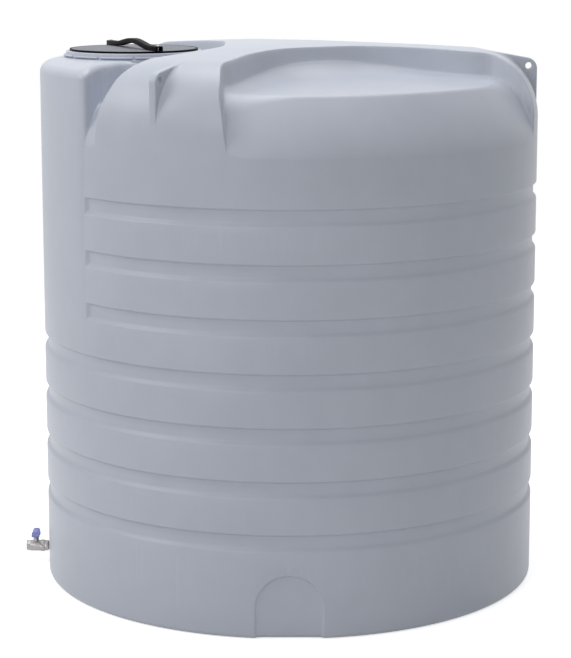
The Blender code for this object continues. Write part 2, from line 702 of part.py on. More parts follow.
def build_outlet(plated, rubber, nylon, dark_brass):
    """Flanged fitting through the arch face, clamped by a locknut inside, with the nipple."""
    gasket_in = ARCH_FACE + CLEARANCE
    gasket_out = gasket_in + GASKET_THICKNESS
    wall_in = ARCH_FACE - WALL - CLEARANCE
    washer_in = wall_in - GASKET_THICKNESS
    nut_out = washer_in - CLEARANCE
    nut_in = nut_out - LOCKNUT_THICKNESS
    shank_end = nut_in - SHANK_SPARE
    opening = SHANK_RADIUS + CLEARANCE
    hex_piece("outlet_fitting", FLANGE_FLATS, FLANGE_IN, FLANGE_OUT, plated,
              extras=[(SHANK_RADIUS, shank_end, FLANGE_IN + JOIN)],
              bore=[(shank_end - OVERCUT, FITTING_BORE), (FLANGE_OUT - THREAD_DEPTH, THREAD_BORE)],
              bore_end=FLANGE_OUT + OVERCUT)
    ring_piece("outlet_gasket", [(GASKET_RADIUS, gasket_in), (GASKET_RADIUS, gasket_out),
                                 (opening, gasket_out), (opening, gasket_in)], 32, rubber, VALVE_HEIGHT)
    ring_piece("outlet_washer", [(GASKET_RADIUS, washer_in), (GASKET_RADIUS, wall_in),
                                 (opening, wall_in), (opening, washer_in)], 32, nylon, VALVE_HEIGHT)
    hex_piece("outlet_locknut", FLANGE_FLATS, nut_in, nut_out, dark_brass,
              bore=[(nut_in - OVERCUT, opening)], bore_end=nut_out + OVERCUT)
    hex_out = VALVE_INLET - CLEARANCE
    inner_end = FLANGE_OUT - THREAD_DEPTH + CLEARANCE
    outer_end = VALVE_INLET + VALVE_SOCKET_DEPTH - CLEARANCE
    hex_piece("outlet_nipple", NIPPLE_FLATS, hex_out - NIPPLE_HEX_LENGTH, hex_out, plated,
              extras=[(THREAD_RADIUS, inner_end, outer_end)],
              bore=[(inner_end - OVERCUT, NIPPLE_BORE)], bore_end=outer_end + OVERCUT)


def build_valve_body(plated):
    """Body casting with a hexagon inlet, a barrel and an upright stem boss."""
    start = VALVE_INLET
    stem_y = start + BALL_POSITION
    body = hex_piece("valve_body", VALVE_HEX_FLATS, start, start + VALVE_HEX_LENGTH, plated,
                     extras=[(VALVE_BARREL, start + VALVE_HEX_LENGTH - JOIN, start + VALVE_BARREL_END)])
    centre = (0.0, -stem_y)
    z0 = VALVE_HEIGHT
    boss = cylinder("valve_boss", BONNET_RADIUS, z0 + BALL_BORE, z0 + BONNET_TOP, 24, centre)
    boolean(body, boss, 'UNION')
    steps = [(start - OVERCUT, THREAD_BORE), (start + VALVE_SOCKET_DEPTH, WEB_BORE),
             (start + ball_web_end(), CAVITY_RADIUS)]
    boolean(body, stepped_cutter("valve_waterway", steps, start + VALVE_BARREL_END + OVERCUT, 32,
                                 phase=math.pi / 32))
    roof = collar_top() + WASHER_THICKNESS + 2 * CLEARANCE
    steps = [(z0 + BALL_BORE / 2, STEM_COLLAR + CLEARANCE), (z0 + roof, STEM_RADIUS + CLEARANCE),
             (z0 + PACKING_FLOOR, PACKING_RADIUS + CLEARANCE)]
    boolean(body, stepped_cutter("stem_bores", steps, z0 + BONNET_TOP + OVERCUT, 24, upright_at=centre))
    return body


def ball_web_end():
    return BALL_POSITION - SEAT_FACE - SEAT_LENGTH - CLEARANCE


def collar_top():
    return CAVITY_RADIUS + CLEARANCE + STEM_COLLAR_HEIGHT


def build_valve_end(plated):
    """Screwed end piece that holds the outer seat against the ball."""
    start = VALVE_INLET
    inner = start + BALL_POSITION + SEAT_FACE + SEAT_LENGTH + CLEARANCE
    shoulder = start + VALVE_BARREL_END + CLEARANCE
    end = start + VALVE_LENGTH
    hex_piece("valve_end", VALVE_END_FLATS, shoulder, end, plated, turn=30.0,
              extras=[(CAVITY_RADIUS - CLEARANCE, inner, shoulder + JOIN)],
              bore=[(inner - OVERCUT, WEB_BORE), (end - VALVE_END_SOCKET, THREAD_BORE)],
              bore_end=end + OVERCUT)


def seat_profile(direction):
    """Seat ring with a cone that faces the ball. Direction is +1 outside the ball, -1 inside."""
    near = BALL_POSITION + direction * SEAT_FACE
    far = BALL_POSITION + direction * (SEAT_FACE + SEAT_LENGTH)
    outer = CAVITY_RADIUS - CLEARANCE
    gap = BALL_RADIUS + CLEARANCE

    def cone(distance):
        return math.sqrt(max(gap ** 2 - distance ** 2, WEB_BORE ** 2)) + SEAT_EASE

    middle = SEAT_FACE + SEAT_LENGTH / 3
    profile = [(outer, near), (outer, far), (WEB_BORE, far),
               (cone(middle), BALL_POSITION + direction * middle), (cone(SEAT_FACE), near)]
    return [(radius, VALVE_INLET + position) for radius, position in profile]


def build_ball(chrome):
    """Bored ball, shut at rest, with a slot on top for the stem tang, square to its bore."""
    bm = bmesh.new()
    profile = [(0.0, -BALL_RADIUS)]
    for k in range(1, 12):
        turn = math.pi * k / 12 - math.pi / 2
        profile.append((BALL_RADIUS * math.cos(turn), BALL_RADIUS * math.sin(turn)))
    profile.append((0.0, BALL_RADIUS))
    turned(bm, profile, 24)
    ball = add_object("valve_ball", bm, chrome, 60)
    ball.location = (0.0, -(VALVE_INLET + BALL_POSITION), VALVE_HEIGHT)
    bore = bmesh.new()
    reach = 2 * BALL_RADIUS
    turned(bore, [(0, -reach), (BALL_BORE, -reach), (BALL_BORE, reach), (0, reach)], 24)
    bmesh.ops.rotate(bore, verts=bore.verts, cent=(0, 0, 0), matrix=Matrix.Rotation(math.pi / 2, 3, 'Y'))
    bore = as_cutter(add_object("ball_bore", bore))
    bore.location = ball.location
    boolean(ball, bore)
    slot = bmesh.new()
    bar = bmesh.ops.create_cube(slot, size=1.0)["verts"]
    bmesh.ops.scale(slot, verts=bar, vec=(TANG_WIDTH + 2 * CLEARANCE, 2 * reach, reach))
    bmesh.ops.translate(slot, verts=bar, vec=(0, 0, slot_floor() + reach / 2))
    slot = as_cutter(add_object("ball_slot", slot))
    slot.location = ball.location
    boolean(ball, slot)
    return ball


def slot_floor():
    return CAVITY_RADIUS + CLEARANCE - TANG_DEPTH - CLEARANCE


def build_stem(steel):
    """Stem put in from inside: a tang in the ball's slot, a collar and a plain round shank."""
    z_collar = CAVITY_RADIUS + CLEARANCE
    bm = bmesh.new()
    turned(bm, [(0, z_collar), (STEM_COLLAR, z_collar), (STEM_COLLAR, collar_top()),
                (STEM_RADIUS, collar_top()), (STEM_RADIUS, STEM_TOP - STEM_CHAMFER),
                (STEM_RADIUS - STEM_CHAMFER, STEM_TOP), (0, STEM_TOP)], 24)
    stem = add_object("valve_stem", bm, steel, 35)
    stem.location = (0.0, -(VALVE_INLET + BALL_POSITION), VALVE_HEIGHT)
    tang = bmesh.new()
    bar = bmesh.ops.create_cube(tang, size=1.0)["verts"]
    bmesh.ops.scale(tang, verts=bar, vec=(TANG_WIDTH, TANG_LENGTH, TANG_DEPTH + JOIN / 2))
    bmesh.ops.translate(tang, verts=bar, vec=(0, 0, z_collar - TANG_DEPTH / 2 + JOIN / 4))
    tang = as_cutter(add_object("stem_tang", tang))
    tang.location = stem.location
    boolean(stem, tang, 'UNION')
    return stem


def build_gland(seat_white, plated):
    """Thrust washer under the boss, packing ring in its chamber, and the gland nut above."""
    z0 = VALVE_HEIGHT
    centre = (0.0, -(VALVE_INLET + BALL_POSITION))
    bore = STEM_RADIUS + CLEARANCE
    low = z0 + collar_top() + CLEARANCE
    ring_piece("stem_washer", [(STEM_COLLAR, low), (STEM_COLLAR, low + WASHER_THICKNESS),
                               (bore, low + WASHER_THICKNESS), (bore, low)], 24, seat_white, centre=centre)
    low = z0 + PACKING_FLOOR + CLEARANCE
    ring_piece("stem_packing", [(PACKING_RADIUS, low), (PACKING_RADIUS, low + PACKING_HEIGHT),
                                (bore, low + PACKING_HEIGHT), (bore, low)], 24, seat_white, centre=centre)
    spigot = low + PACKING_HEIGHT + CLEARANCE
    head = z0 + BONNET_TOP + CLEARANCE
    bm = hex_prism(GLAND_FLATS, head, head + GLAND_HEAD)
    bmesh.ops.translate(bm, verts=bm.verts, vec=(centre[0], centre[1], 0.0))
    nut = add_object("gland_nut", bm, plated, 35)
    boolean(nut, cylinder("gland_spigot", PACKING_RADIUS, spigot, head + JOIN / 2, 24, centre), 'UNION')
    boolean(nut, cylinder("gland_bore", bore, z0, z0 + STEM_TOP, 24, centre))
    return nut


def build_handle(blue, steel):
    """Pressed butterfly handle: a bar over the stem with an ear turned up at each end."""
    origin = (0.0, -(VALVE_INLET + BALL_POSITION), VALVE_HEIGHT)
    low = HANDLE_SEAT
    bm = bmesh.new()
    turned(bm, [(0, low), (HANDLE_HUB, low), (HANDLE_HUB, low + HANDLE_PLATE), (0, low + HANDLE_PLATE)], 24)
    handle = add_object("valve_handle", bm, blue, 35)
    handle.location = origin
    for k, side in enumerate((1, -1)):
        ear = handle_wing(f"handle_wing_{k + 1}", side, low)
        ear.location = origin
        boolean(handle, ear, 'UNION')
    hole = cylinder("handle_hole", STEM_RADIUS + CLEARANCE, 0.0, 2 * STEM_TOP, 24)
    hole.location = origin
    boolean(handle, hole)
    nut_low = low + HANDLE_PLATE + CLEARANCE
    bm = hex_prism(HANDLE_NUT_FLATS, nut_low, nut_low + HANDLE_NUT_HEIGHT)
    nut = add_object("handle_nut", bm, steel, 35)
    nut.location = origin
    hole = cylinder("handle_nut_hole", STEM_RADIUS + CLEARANCE, 0.0, 2 * STEM_TOP, 24)
    hole.location = origin
    boolean(nut, hole)


def handle_wing(name, side, low):
    """Bar and ear as one bent plate, its width growing into the ear and closing at the tip."""
    lean = math.radians(EAR_LEAN)
    bend = HANDLE_REACH
    plate = HANDLE_PLATE
    knee = plate + 0.2 * plate
    path = [(JOIN, 0.0, 0.90 * HANDLE_HUB), (0.60 * bend, 0.0, 0.80 * HANDLE_HUB),
            (0.90 * bend, 0.2 * plate, 0.42 * EAR_BASE), (bend + 0.4 * plate, knee, 0.50 * EAR_BASE)]
    for share, half in ((0.45, 0.48 * EAR_BASE), (0.80, 0.40 * EAR_BASE), (1.0, 0.5 * EAR_TIP)):
        rise = knee + (EAR_HEIGHT - knee) * share
        path.append((bend + 0.4 * plate + (rise - knee) * math.tan(lean), rise, half))
    loops = []
    for i, (x, z, half) in enumerate(path):
        before = path[max(0, i - 1)]
        after = path[min(len(path) - 1, i + 1)]
        along = Vector((after[0] - before[0], 0.0, after[1] - before[1])).normalized()
        normal = Vector((-along.z, 0.0, along.x))
        loop = []
        for y, thick in ((-half, 0.0), (half, 0.0), (half, 1.0), (-half, 1.0)):
            point = Vector((x, y, low + z)) + normal * (plate * thick)
            loop.append((side * point.x, side * point.y, point.z))
        loops.append(loop)
    bm = bmesh.new()
    loft(bm, loops)
    return as_cutter(add_object(name, bm))


def main():
    clear_scene()
    poly = make_material("tank_polyethylene", (0.42, 0.45, 0.52), 0.42)
    black = make_material("black_moulding", (0.012, 0.010, 0.013), 0.35)
    mesh_steel = make_material("strainer_mesh_steel", (0.36, 0.37, 0.40), 0.40, 0.8)
    plated = make_material("nickel_plated_brass", (0.66, 0.64, 0.62), 0.25, 1.0)
    brass = make_material("plain_brass", (0.70, 0.52, 0.25), 0.30, 1.0)
    steel = make_material("stainless_steel", (0.60, 0.60, 0.60), 0.30, 1.0)
    chrome = make_material("ball_chrome", (0.80, 0.80, 0.82), 0.08, 1.0)
    rubber = make_material("black_rubber", (0.02, 0.02, 0.02), 0.75)
    nylon = make_material("white_nylon", (0.80, 0.80, 0.76), 0.50)
    seat_white = make_material("seat_plastic", (0.88, 0.88, 0.86), 0.45)
    blue = make_material("handle_blue", (0.10, 0.12, 0.45), 0.35)

    build_tank(poly)
    build_strainer(black, mesh_steel, steel)
    build_outlet(plated, rubber, nylon, brass)
    build_valve_body(plated)
    build_valve_end(plated)
    ring_piece("ball_seat_inner", seat_profile(-1), 32, seat_white, VALVE_HEIGHT)
    ring_piece("ball_seat_outer", seat_profile(1), 32, seat_white, VALVE_HEIGHT)
    build_ball(chrome)
    build_stem(steel)
    build_gland(seat_white, plated)
    build_handle(blue, steel)


main()
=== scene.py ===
# %% [markdown]
# # A round rainwater tank with its strainer and ball valve
# The tank's solids are the fixed frame of this scene: they hold every size and every joint. This
# script gives them their looks. The tank itself is one rotomoulded plastic skin with soft, rounded
# edges that plain solids don't show, so it is modelled again here as a smooth surface over the
# same sizes. The small parts are copies of their solids with rounded edges, and some of them get
# the threads and cross recesses that the solids leave out.

# %% Load the frame
import json
import math

import bmesh
import bpy
import numpy as np
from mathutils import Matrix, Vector


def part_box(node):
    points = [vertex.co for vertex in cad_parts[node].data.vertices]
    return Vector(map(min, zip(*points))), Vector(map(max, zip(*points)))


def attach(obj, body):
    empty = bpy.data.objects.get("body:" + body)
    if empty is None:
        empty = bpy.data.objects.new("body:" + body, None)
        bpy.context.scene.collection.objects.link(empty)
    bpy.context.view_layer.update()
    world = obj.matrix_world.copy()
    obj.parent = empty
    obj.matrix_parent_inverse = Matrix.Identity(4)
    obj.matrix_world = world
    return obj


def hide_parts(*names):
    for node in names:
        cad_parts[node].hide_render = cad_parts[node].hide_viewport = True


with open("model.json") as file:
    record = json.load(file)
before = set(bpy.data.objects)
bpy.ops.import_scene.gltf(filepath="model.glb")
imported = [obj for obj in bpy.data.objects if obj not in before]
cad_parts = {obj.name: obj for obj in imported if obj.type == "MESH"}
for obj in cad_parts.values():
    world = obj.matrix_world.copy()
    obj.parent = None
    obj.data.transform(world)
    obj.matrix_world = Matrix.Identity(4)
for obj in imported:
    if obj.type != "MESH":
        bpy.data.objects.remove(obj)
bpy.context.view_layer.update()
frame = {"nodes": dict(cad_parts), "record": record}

# %% Driving sizes, read from the frame
body_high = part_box("tank_body")[1]
RADIUS = body_high.x
CROWN = body_high.z
mesh_low, mesh_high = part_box("strainer_mesh")
NECK_Y = 0.5 * (mesh_low.y + mesh_high.y)
print(f"tank radius {RADIUS:.3f} m, crown {CROWN:.3f} m, neck centre y {NECK_Y:.3f} m")

# %% [markdown]
# ## Helpers for meshes
# Big smooth surfaces are computed with numpy as grids of points, because a formula can be
# evaluated for a million points in a moment. `foreach_set` hands such arrays to Blender without a
# Python loop. Every piece is then finished by one helper, which hangs it on the body it moves
# with, gives it its finish and hides the solid it stands for.

# %% Grid and piece helpers
def grid_mesh(name, points):
    """A quad mesh from a rows x columns x 3 array of points, whose columns run round a circle."""
    rows, columns = points.shape[:2]
    first = np.arange(rows - 1)[:, None] * columns
    column = np.arange(columns)[None, :]
    following = (column + 1) % columns
    quads = np.stack([first + column, first + columns + column,
                      first + columns + following, first + following], -1).reshape(-1, 4)
    return mesh_from(name, points.reshape(-1, 3), quads)


def mesh_from(name, vertices, quads):
    """A smooth mesh from an array of points and, for each face, its four point numbers."""
    mesh = bpy.data.meshes.new(name)
    starts = np.arange(0, quads.size, quads.shape[1], dtype=np.int32)
    mesh.vertices.add(len(vertices))
    mesh.vertices.foreach_set("co", np.ascontiguousarray(vertices, np.float32).ravel())
    mesh.loops.add(quads.size)
    mesh.loops.foreach_set("vertex_index", np.ascontiguousarray(quads, np.int32).ravel())
    mesh.polygons.add(len(quads))
    mesh.polygons.foreach_set("loop_start", starts)
    mesh.update(calc_edges=True)
    mesh.shade_smooth()
    return mesh


def mesh_of(bm, name):
    """A new mesh from an edited bmesh, which is then freed."""
    mesh = bpy.data.meshes.new(name)
    bm.to_mesh(mesh)
    bm.free()
    return mesh


def close_up(mesh):
    """Merge a grid's doubled points and point its faces outwards."""
    bm = bmesh.new()
    bm.from_mesh(mesh)
    bmesh.ops.remove_doubles(bm, verts=bm.verts, dist=0.000001)
    bmesh.ops.recalc_face_normals(bm, faces=bm.faces)
    bm.to_mesh(mesh)
    bm.free()


def new_object(name, mesh):
    """An object that shows the mesh, linked to the scene."""
    piece = bpy.data.objects.new(name, mesh)
    bpy.context.scene.collection.objects.link(piece)
    return piece


def apply_modifiers(piece):
    """Give the object the mesh that its modifiers make, and remove them."""
    depsgraph = bpy.context.evaluated_depsgraph_get()
    mesh = bpy.data.meshes.new_from_object(piece.evaluated_get(depsgraph))
    piece.modifiers.clear()
    piece.data = mesh


def shade_with_creases(piece, degrees):
    """Shade a piece smooth, but keep a crease where its faces meet at more than the angle."""
    piece.data.shade_smooth()
    piece.data.set_sharp_from_angle(angle=math.radians(degrees))


def finish_piece(piece, body, slot, material, *nodes):
    """Give a finished piece its material and its body, and hide the solids it stands for. The slot
    is not used.
    """
    piece.data.materials.clear()
    piece.data.materials.append(material)
    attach(piece, body)
    if nodes:
        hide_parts(*nodes)
    print(f"{piece.name}: {len(piece.data.polygons)} faces")


# %% [markdown]
# ## Helpers for materials
# Shader nodes are easier to read as arithmetic. A `Wire` is one output socket, and adding or
# multiplying wires adds Math nodes. Any other node comes from `Paint.add`, which sets the node's
# settings first and then its values and links.

# %% Wire, a socket with arithmetic
class Wire:
    """One output socket of a material's tree, with arithmetic on it."""

    def __init__(self, paint, socket):
        self.paint = paint
        self.socket = socket

    def maths(self, operation, first, second=0.0):
        """A Math node on one or two values."""
        return self.paint.add("Math", {"operation": operation}, {0: first, 1: second})

    def __add__(self, other):
        return self.maths("ADD", self, other)

    def __mul__(self, other):
        return self.maths("MULTIPLY", self, other)

    __radd__ = __add__
    __rmul__ = __mul__

    def absolute(self):
        return self.maths("ABSOLUTE", self)

    def sine(self):
        return self.maths("SINE", self)

    def between(self, low, high):
        """0 at the first limit and 1 at the second, eased in between."""
        return self.paint.add("MapRange", {"interpolation_type": "SMOOTHSTEP"},
                              {"Value": self, "From Min": low, "From Max": high})


# %% Paint, a material and its nodes
class Paint:
    """A Principled material whose nodes are added one call at a time."""

    def __init__(self, name, **surface):
        self.material = bpy.data.materials.new(name)
        self.material.use_nodes = True
        self.tree = self.material.node_tree
        self.shader = self.tree.nodes["Principled BSDF"]
        for socket, value in surface.items():
            self.shader.inputs[socket.replace("_", " ")].default_value = value

    def add(self, kind, settings=None, values=None, output=0):
        """Add a node of the given kind and return one of its outputs."""
        node = self.tree.nodes.new("ShaderNode" + kind)
        for key, value in (settings or {}).items():
            setattr(node, key, value)
        for key, value in (values or {}).items():
            if isinstance(value, Wire):
                self.tree.links.new(value.socket, node.inputs[key])
            else:
                node.inputs[key].default_value = value
        return Wire(self, node.outputs[output])

    def place(self, scale, shift=(0.0, 0.0, 0.0)):
        """Object coordinates in metres, scaled alike all ways and shifted."""
        where = self.add("TexCoord", output="Object")
        return self.add("Mapping", {}, {"Vector": where, "Scale": (scale,) * 3, "Location": shift})

    def noise(self, size, detail, shift=0.0):
        """Noise from 0 to 1 whose lumps are about the given size in metres."""
        where = self.place(1.0 / size, (shift, 0.5 * shift, -shift))
        return self.add("TexNoise", {}, {"Vector": where, "Scale": 1.0, "Detail": detail,
                                         "Roughness": 0.5}, "Fac")

    def mix(self, share, first, second):
        """A colour between two colours."""
        node = self.tree.nodes.new("ShaderNodeMix")
        node.data_type = "RGBA"
        for index, value in ((0, share), (6, first), (7, second)):
            if isinstance(value, Wire):
                self.tree.links.new(value.socket, node.inputs[index])
            else:
                node.inputs[index].default_value = value
        return Wire(self, node.outputs[2])

    def bump(self, height, distance):
        """A normal that makes the surface look as high as the wire says, times the distance."""
        return self.add("Bump", {}, {"Height": height, "Distance": distance, "Strength": 1.0},
                        "Normal")

    def feed(self, **wires):
        """Link wires to the shader's sockets and return the finished material."""
        for socket, wire in wires.items():
            self.tree.links.new(wire.socket, self.shader.inputs[socket.replace("_", " ")])
        return self.material


# %% Colours
def srgb(red, green, blue):
    """A colour written 0-255, as it is read off a picture, turned into linear values."""
    def linear(value):
        share = value / 255.0
        return share / 12.92 if share <= 0.04045 else ((share + 0.055) / 1.055) ** 2.4
    return (linear(red), linear(green), linear(blue), 1.0)


# %% [markdown]
# ## The tank's polyethylene
# Rotomoulded polyethylene comes out of the mould satin, never glossy, with a very fine orange
# peel and slow changes of tone where the powder melted more or less. A painted picture could show
# that, but noise has no seams and no end. Two slow noises give the tone. A fine one joins in for
# the roughness, and with broad waves it feeds a very low bump, which is the peel.

# %% Polyethylene
def polyethylene():
    """Pale blue-grey satin plastic."""
    paint = Paint("tank_polyethylene", IOR=1.5, Specular_IOR_Level=0.42)
    slow = paint.noise(0.55, 2.0)
    cloud = paint.noise(0.09, 4.0, shift=3.0)
    peel = paint.noise(0.0045, 2.0, shift=7.0)
    tone = slow * 0.65 + cloud * 0.35
    colour = paint.mix(tone.between(0.25, 0.75), srgb(180, 186, 198), srgb(188, 193, 205))
    rough = 0.34 + cloud * 0.06 + peel * 0.04
    wave = paint.noise(0.11, 2.0, shift=11.0)
    height = peel * 0.25 + wave * 1.6
    return paint.feed(Base_Color=colour, Roughness=rough, Normal=paint.bump(height, 0.0006))


tank_plastic = polyethylene()
print(tank_plastic.name, "has", len(tank_plastic.node_tree.nodes), "shader nodes")

# %% [markdown]
# ## The skin of the tank
# The real skin is a steel mould's shape with every edge rounded. It could be cut from a cylinder
# with booleans and bevels, but the roundings here change their size along the edges, and bevels
# fail where three of them meet. So the top is written as a height over the plan, and the wall as
# a radius over height and angle. Where two forms meet, `soft_min` and `soft_max` blend them with
# a rounding of a chosen size, as the mould maker's fillets do.

# %% Soft blends
def soft_min(a, b, blend):
    """The lower of two heights, rounded where they are less than the blend apart."""
    reach = np.maximum(blend - np.abs(a - b), 0.0) / blend
    return np.minimum(a, b) - 0.25 * blend * reach * reach


def soft_max(a, b, blend):
    """The higher of two heights, rounded in the same way."""
    return -soft_min(-a, -b, blend)


def ease(value):
    """0 to 1 with a gentle start and end."""
    value = np.clip(value, 0.0, 1.0)
    return value * value * (3.0 - 2.0 * value)


# %% Curves and outlines
def smooth_curve(points, steps=8):
    """A cubic curve through the points, starting square to the centre line."""
    p = np.vstack([points[1] * (1, -1), points, 2 * points[-1] - points[-2]])
    pieces = []
    for k in range(1, len(p) - 2):
        t = np.linspace(0.0, 1.0, steps, endpoint=False)[:, None]
        a, b, c, d = p[k - 1], p[k], p[k + 1], p[k + 2]
        pieces.append(0.5 * (2 * b + (c - a) * t + (2 * a - 5 * b + 4 * c - d) * t ** 2
                             + (3 * b - a - 3 * c + d) * t ** 3))
    pieces.append(points[-1:])
    return np.vstack(pieces)


def distance_to_line(u, v, line):
    """Plain distance from many points to a run of straight stretches."""
    best = np.full(u.shape, 1e9)
    for (au, av), (bu, bv) in zip(line[:-1], line[1:]):
        du, dv = bu - au, bv - av
        share = np.clip(((u - au) * du + (v - av) * dv) / (du * du + dv * dv), 0.0, 1.0)
        best = np.minimum(best, (u - au - share * du) ** 2 + (v - av - share * dv) ** 2)
    return np.sqrt(best)


def inside(u, v, line):
    """True where a point lies inside the closed outline."""
    found = np.zeros(u.shape, bool)
    for (au, av), (bu, bv) in zip(line, np.roll(line, -1, axis=0)):
        crosses = (av > v) != (bv > v)
        rise = np.where(bv == av, 1e-12, bv - av)
        found ^= crosses & (u < au + (v - av) / rise * (bu - au))
    return found


def polar_points(pairs):
    """Radius and angle pairs as plan points, u along the centre line and v to its side."""
    r, a = np.array(pairs, float).T
    a = np.radians(a)
    return np.stack([r * np.cos(a), r * np.sin(a)], -1)


def depth_inside(r, angle, outline):
    """Signed distance inside an outline that is drawn for one half and mirrored."""
    u, v = r * np.cos(angle), np.abs(r * np.sin(angle))
    far = 2.0 * RADIUS
    closing = np.array([[far, outline[-1][1]], [far, 0.0], [outline[0][0], 0.0]])
    gap = distance_to_line(u, v, outline)
    return np.where(inside(u, v, np.vstack([outline, closing])), gap, -gap)


# %% [markdown]
# ### Crown, recesses and tower
# The crown is a shallow dome with an elliptical shoulder. Three recesses of one plan drain it, 120
# degrees apart, and leave three ribs between them. Each has a steep wall round a bowl-shaped
# floor, and beyond a lip its outer face bellies down to the wall of the tank. The front recess
# lies lower than the other two, and the inlet tower rises out of it and carries the neck.

# %% Crown
SHOULDER_REACH = 0.217
SHOULDER_FALL = 0.240
DOME_SAG = 0.051


def crown_height(r):
    """The dome, which falls away over the shoulder as an ellipse does."""
    start = RADIUS - SHOULDER_REACH
    t = np.clip((r - start) / SHOULDER_REACH, 0.0, 1.0)
    dome = CROWN - DOME_SAG * r * r
    top = CROWN - DOME_SAG * start * start
    slope = 2 * DOME_SAG * start * SHOULDER_REACH
    shoulder = top - SHOULDER_FALL * (1 - np.sqrt(1 - t * t)) - slope * t * (1 - t) ** 2
    return np.where(r < start, dome, shoulder)


print(f"the crown falls {float(CROWN - crown_height(np.array(RADIUS))):.3f} m to the wall")


# %% Plan and floor of a recess
# Upper edge of a recess, as radius in metres and angle in degrees from its centre line
RECESS_EDGE = smooth_curve(polar_points([
    (0.240, 0), (0.244, 12), (0.258, 22.5), (0.293, 33), (0.354, 40.5), (0.489, 45.8),
    (0.614, 46.7), (0.684, 47.0), (0.736, 47.5), (0.769, 47.3), (0.838, 45.9), (0.880, 45.2),
    (0.912, 43.9), (0.960, 42.0)]))
print(len(RECESS_EDGE), "points on the edge of a recess")

# Each recess: turn of its centre line in degrees, height of its lip and slope of its floor
RECESSES = (
    (-120.0, CROWN - 0.130, 0.030),
    (0.0, CROWN - 0.186, 0.115),
    (120.0, CROWN - 0.130, 0.030),
)

# The lip, and its rounding, which grows towards the sides of the recess
LIP_R = RADIUS - 0.115
LIP_ROUND = 0.010
LIP_ROUND_MORE = 0.075
LIP_ROUND_REACH = 0.30

# The floor rises as a bowl towards its wall, with a small foot, and bellies down past the lip
LEDGE = 0.012
BOWL_REACH = 0.240
BOWL_RISE = 0.096
FOOT_REACH = 0.090
FOOT_RISE = 0.014
BELLY_FOOT = CROWN - 0.335
BELLY_HEIGHT = 0.205


def recess_floor(r, depth, lip, slope):
    """Floor with its bowl-shaped sides, and the belly that takes over beyond the lip."""
    inward = np.maximum(RADIUS - r, 0.0) / (RADIUS - LIP_R)
    outer_face = BELLY_FOOT + BELLY_HEIGHT * inward ** (2 / 3)
    near_edge = np.clip(1 - depth / LIP_ROUND_REACH, 0.0, 1.0)
    softness = LIP_ROUND + LIP_ROUND_MORE * near_edge ** 2
    floor = soft_min(lip + slope * (LIP_R - r), outer_face, softness)
    away = np.maximum(depth - LEDGE, 0.0)
    bowl = BOWL_RISE * np.clip(1 - r / LIP_R, 0.0, 1.0) ** 2.2
    return (floor + bowl * np.clip(1 - away / BOWL_REACH, 0.0, 1.0) ** 3
            + FOOT_RISE * np.clip(1 - away / FOOT_REACH, 0.0, 1.0) ** 2)


# %% Wall of a recess
FLOOR_FILLET = 0.012
WALL_STEEP = 9.0


def recess_height(r, angle, crown, *shape):
    """The floor, with a wall that starts with a fillet on it and climbs steeply to the edge."""
    depth = depth_inside(r, angle, RECESS_EDGE)
    floor = recess_floor(r, depth, *shape)
    run = FLOOR_FILLET * WALL_STEEP / math.hypot(1.0, WALL_STEEP)
    rise = FLOOR_FILLET * (1 - 1 / math.hypot(1.0, WALL_STEEP))
    drop = np.maximum(crown - floor, 0.0)
    low = np.sqrt(np.maximum(FLOOR_FILLET ** 2 - (FLOOR_FILLET - np.minimum(drop, rise)) ** 2, 0.0))
    reach = np.where(drop < rise, low, run + (drop - rise) / WALL_STEEP)
    back = np.maximum(reach - depth, 0.0)
    curve = FLOOR_FILLET - np.sqrt(FLOOR_FILLET ** 2 - np.minimum(back, run) ** 2)
    return floor + curve + WALL_STEEP * np.maximum(back - run, 0.0)


# %% Plan of the tower
NECK_RADIUS = 0.250
COLLAR_RADIUS = NECK_RADIUS + 0.022

# One side of the plan runs between two points: how far to the side, how far from the centre
TOWER_SIDE_START = (0.270, 0.575)
TOWER_SIDE_END = (0.560, 0.690)
TOWER_SIDE_ROUND = 0.060
TOWER_CORNER_ROUND = 0.045


def tower_depth(r, angle):
    """Signed distance inside the tower's plan: a wedge with round corners and the neck's collar."""
    u, w = np.abs(r * np.sin(angle)), r * np.cos(angle)
    start, end = np.array(TOWER_SIDE_START), np.array(TOWER_SIDE_END)
    along = (end - start) / np.linalg.norm(end - start)
    wedge = (w - start[1]) * along[0] - (u - start[0]) * along[1]
    collar = COLLAR_RADIUS - np.hypot(u, w + NECK_Y)
    side = soft_max(wedge, collar, TOWER_SIDE_ROUND)
    return soft_min(side, RADIUS - r, TOWER_CORNER_ROUND)


# %% Feet of the lifting lugs
# Where a lug's upper edge starts, how fast it falls, and the size of the soft foot
LUG_START_R = 0.735
LUG_START_Z = 1.957
LUG_FALL = 0.18
LUG_THICK = 0.027
LUG_FOOT_HIGH = 0.010
LUG_FOOT_WIDE = 0.018
LUG_FOOT_START = 0.70
LUG_FOOT_RUN = 0.07


def lug_fillet(r, angle, crown):
    """The soft foot of plastic along both flanks of each lifting lug."""
    turned = (angle + math.pi / 3) % (2 * math.pi / 3) - math.pi / 3
    from_lug = math.pi / 3 - np.abs(turned)
    gap = np.abs(r * np.sin(from_lug)) - LUG_THICK / 2
    lug_top = LUG_START_Z - LUG_FALL * (r - LUG_START_R)
    height = np.clip(lug_top - crown, 0.0, LUG_FOOT_HIGH) * (np.cos(from_lug) > 0)
    flank = np.clip(1 - gap / LUG_FOOT_WIDE, 0.0, 1.0) ** 2.5
    return height * ease((r - LUG_FOOT_START) / LUG_FOOT_RUN) * flank


# %% Height of the whole top
RECESS_EDGE_ROUND = 0.020
TOWER_TOP = CROWN - 0.050
TOWER_EDGE = 0.028
TOWER_STEEP = 30.0
TOWER_FOOT_ROUND = 0.022
TOWER_SEAM = 0.004

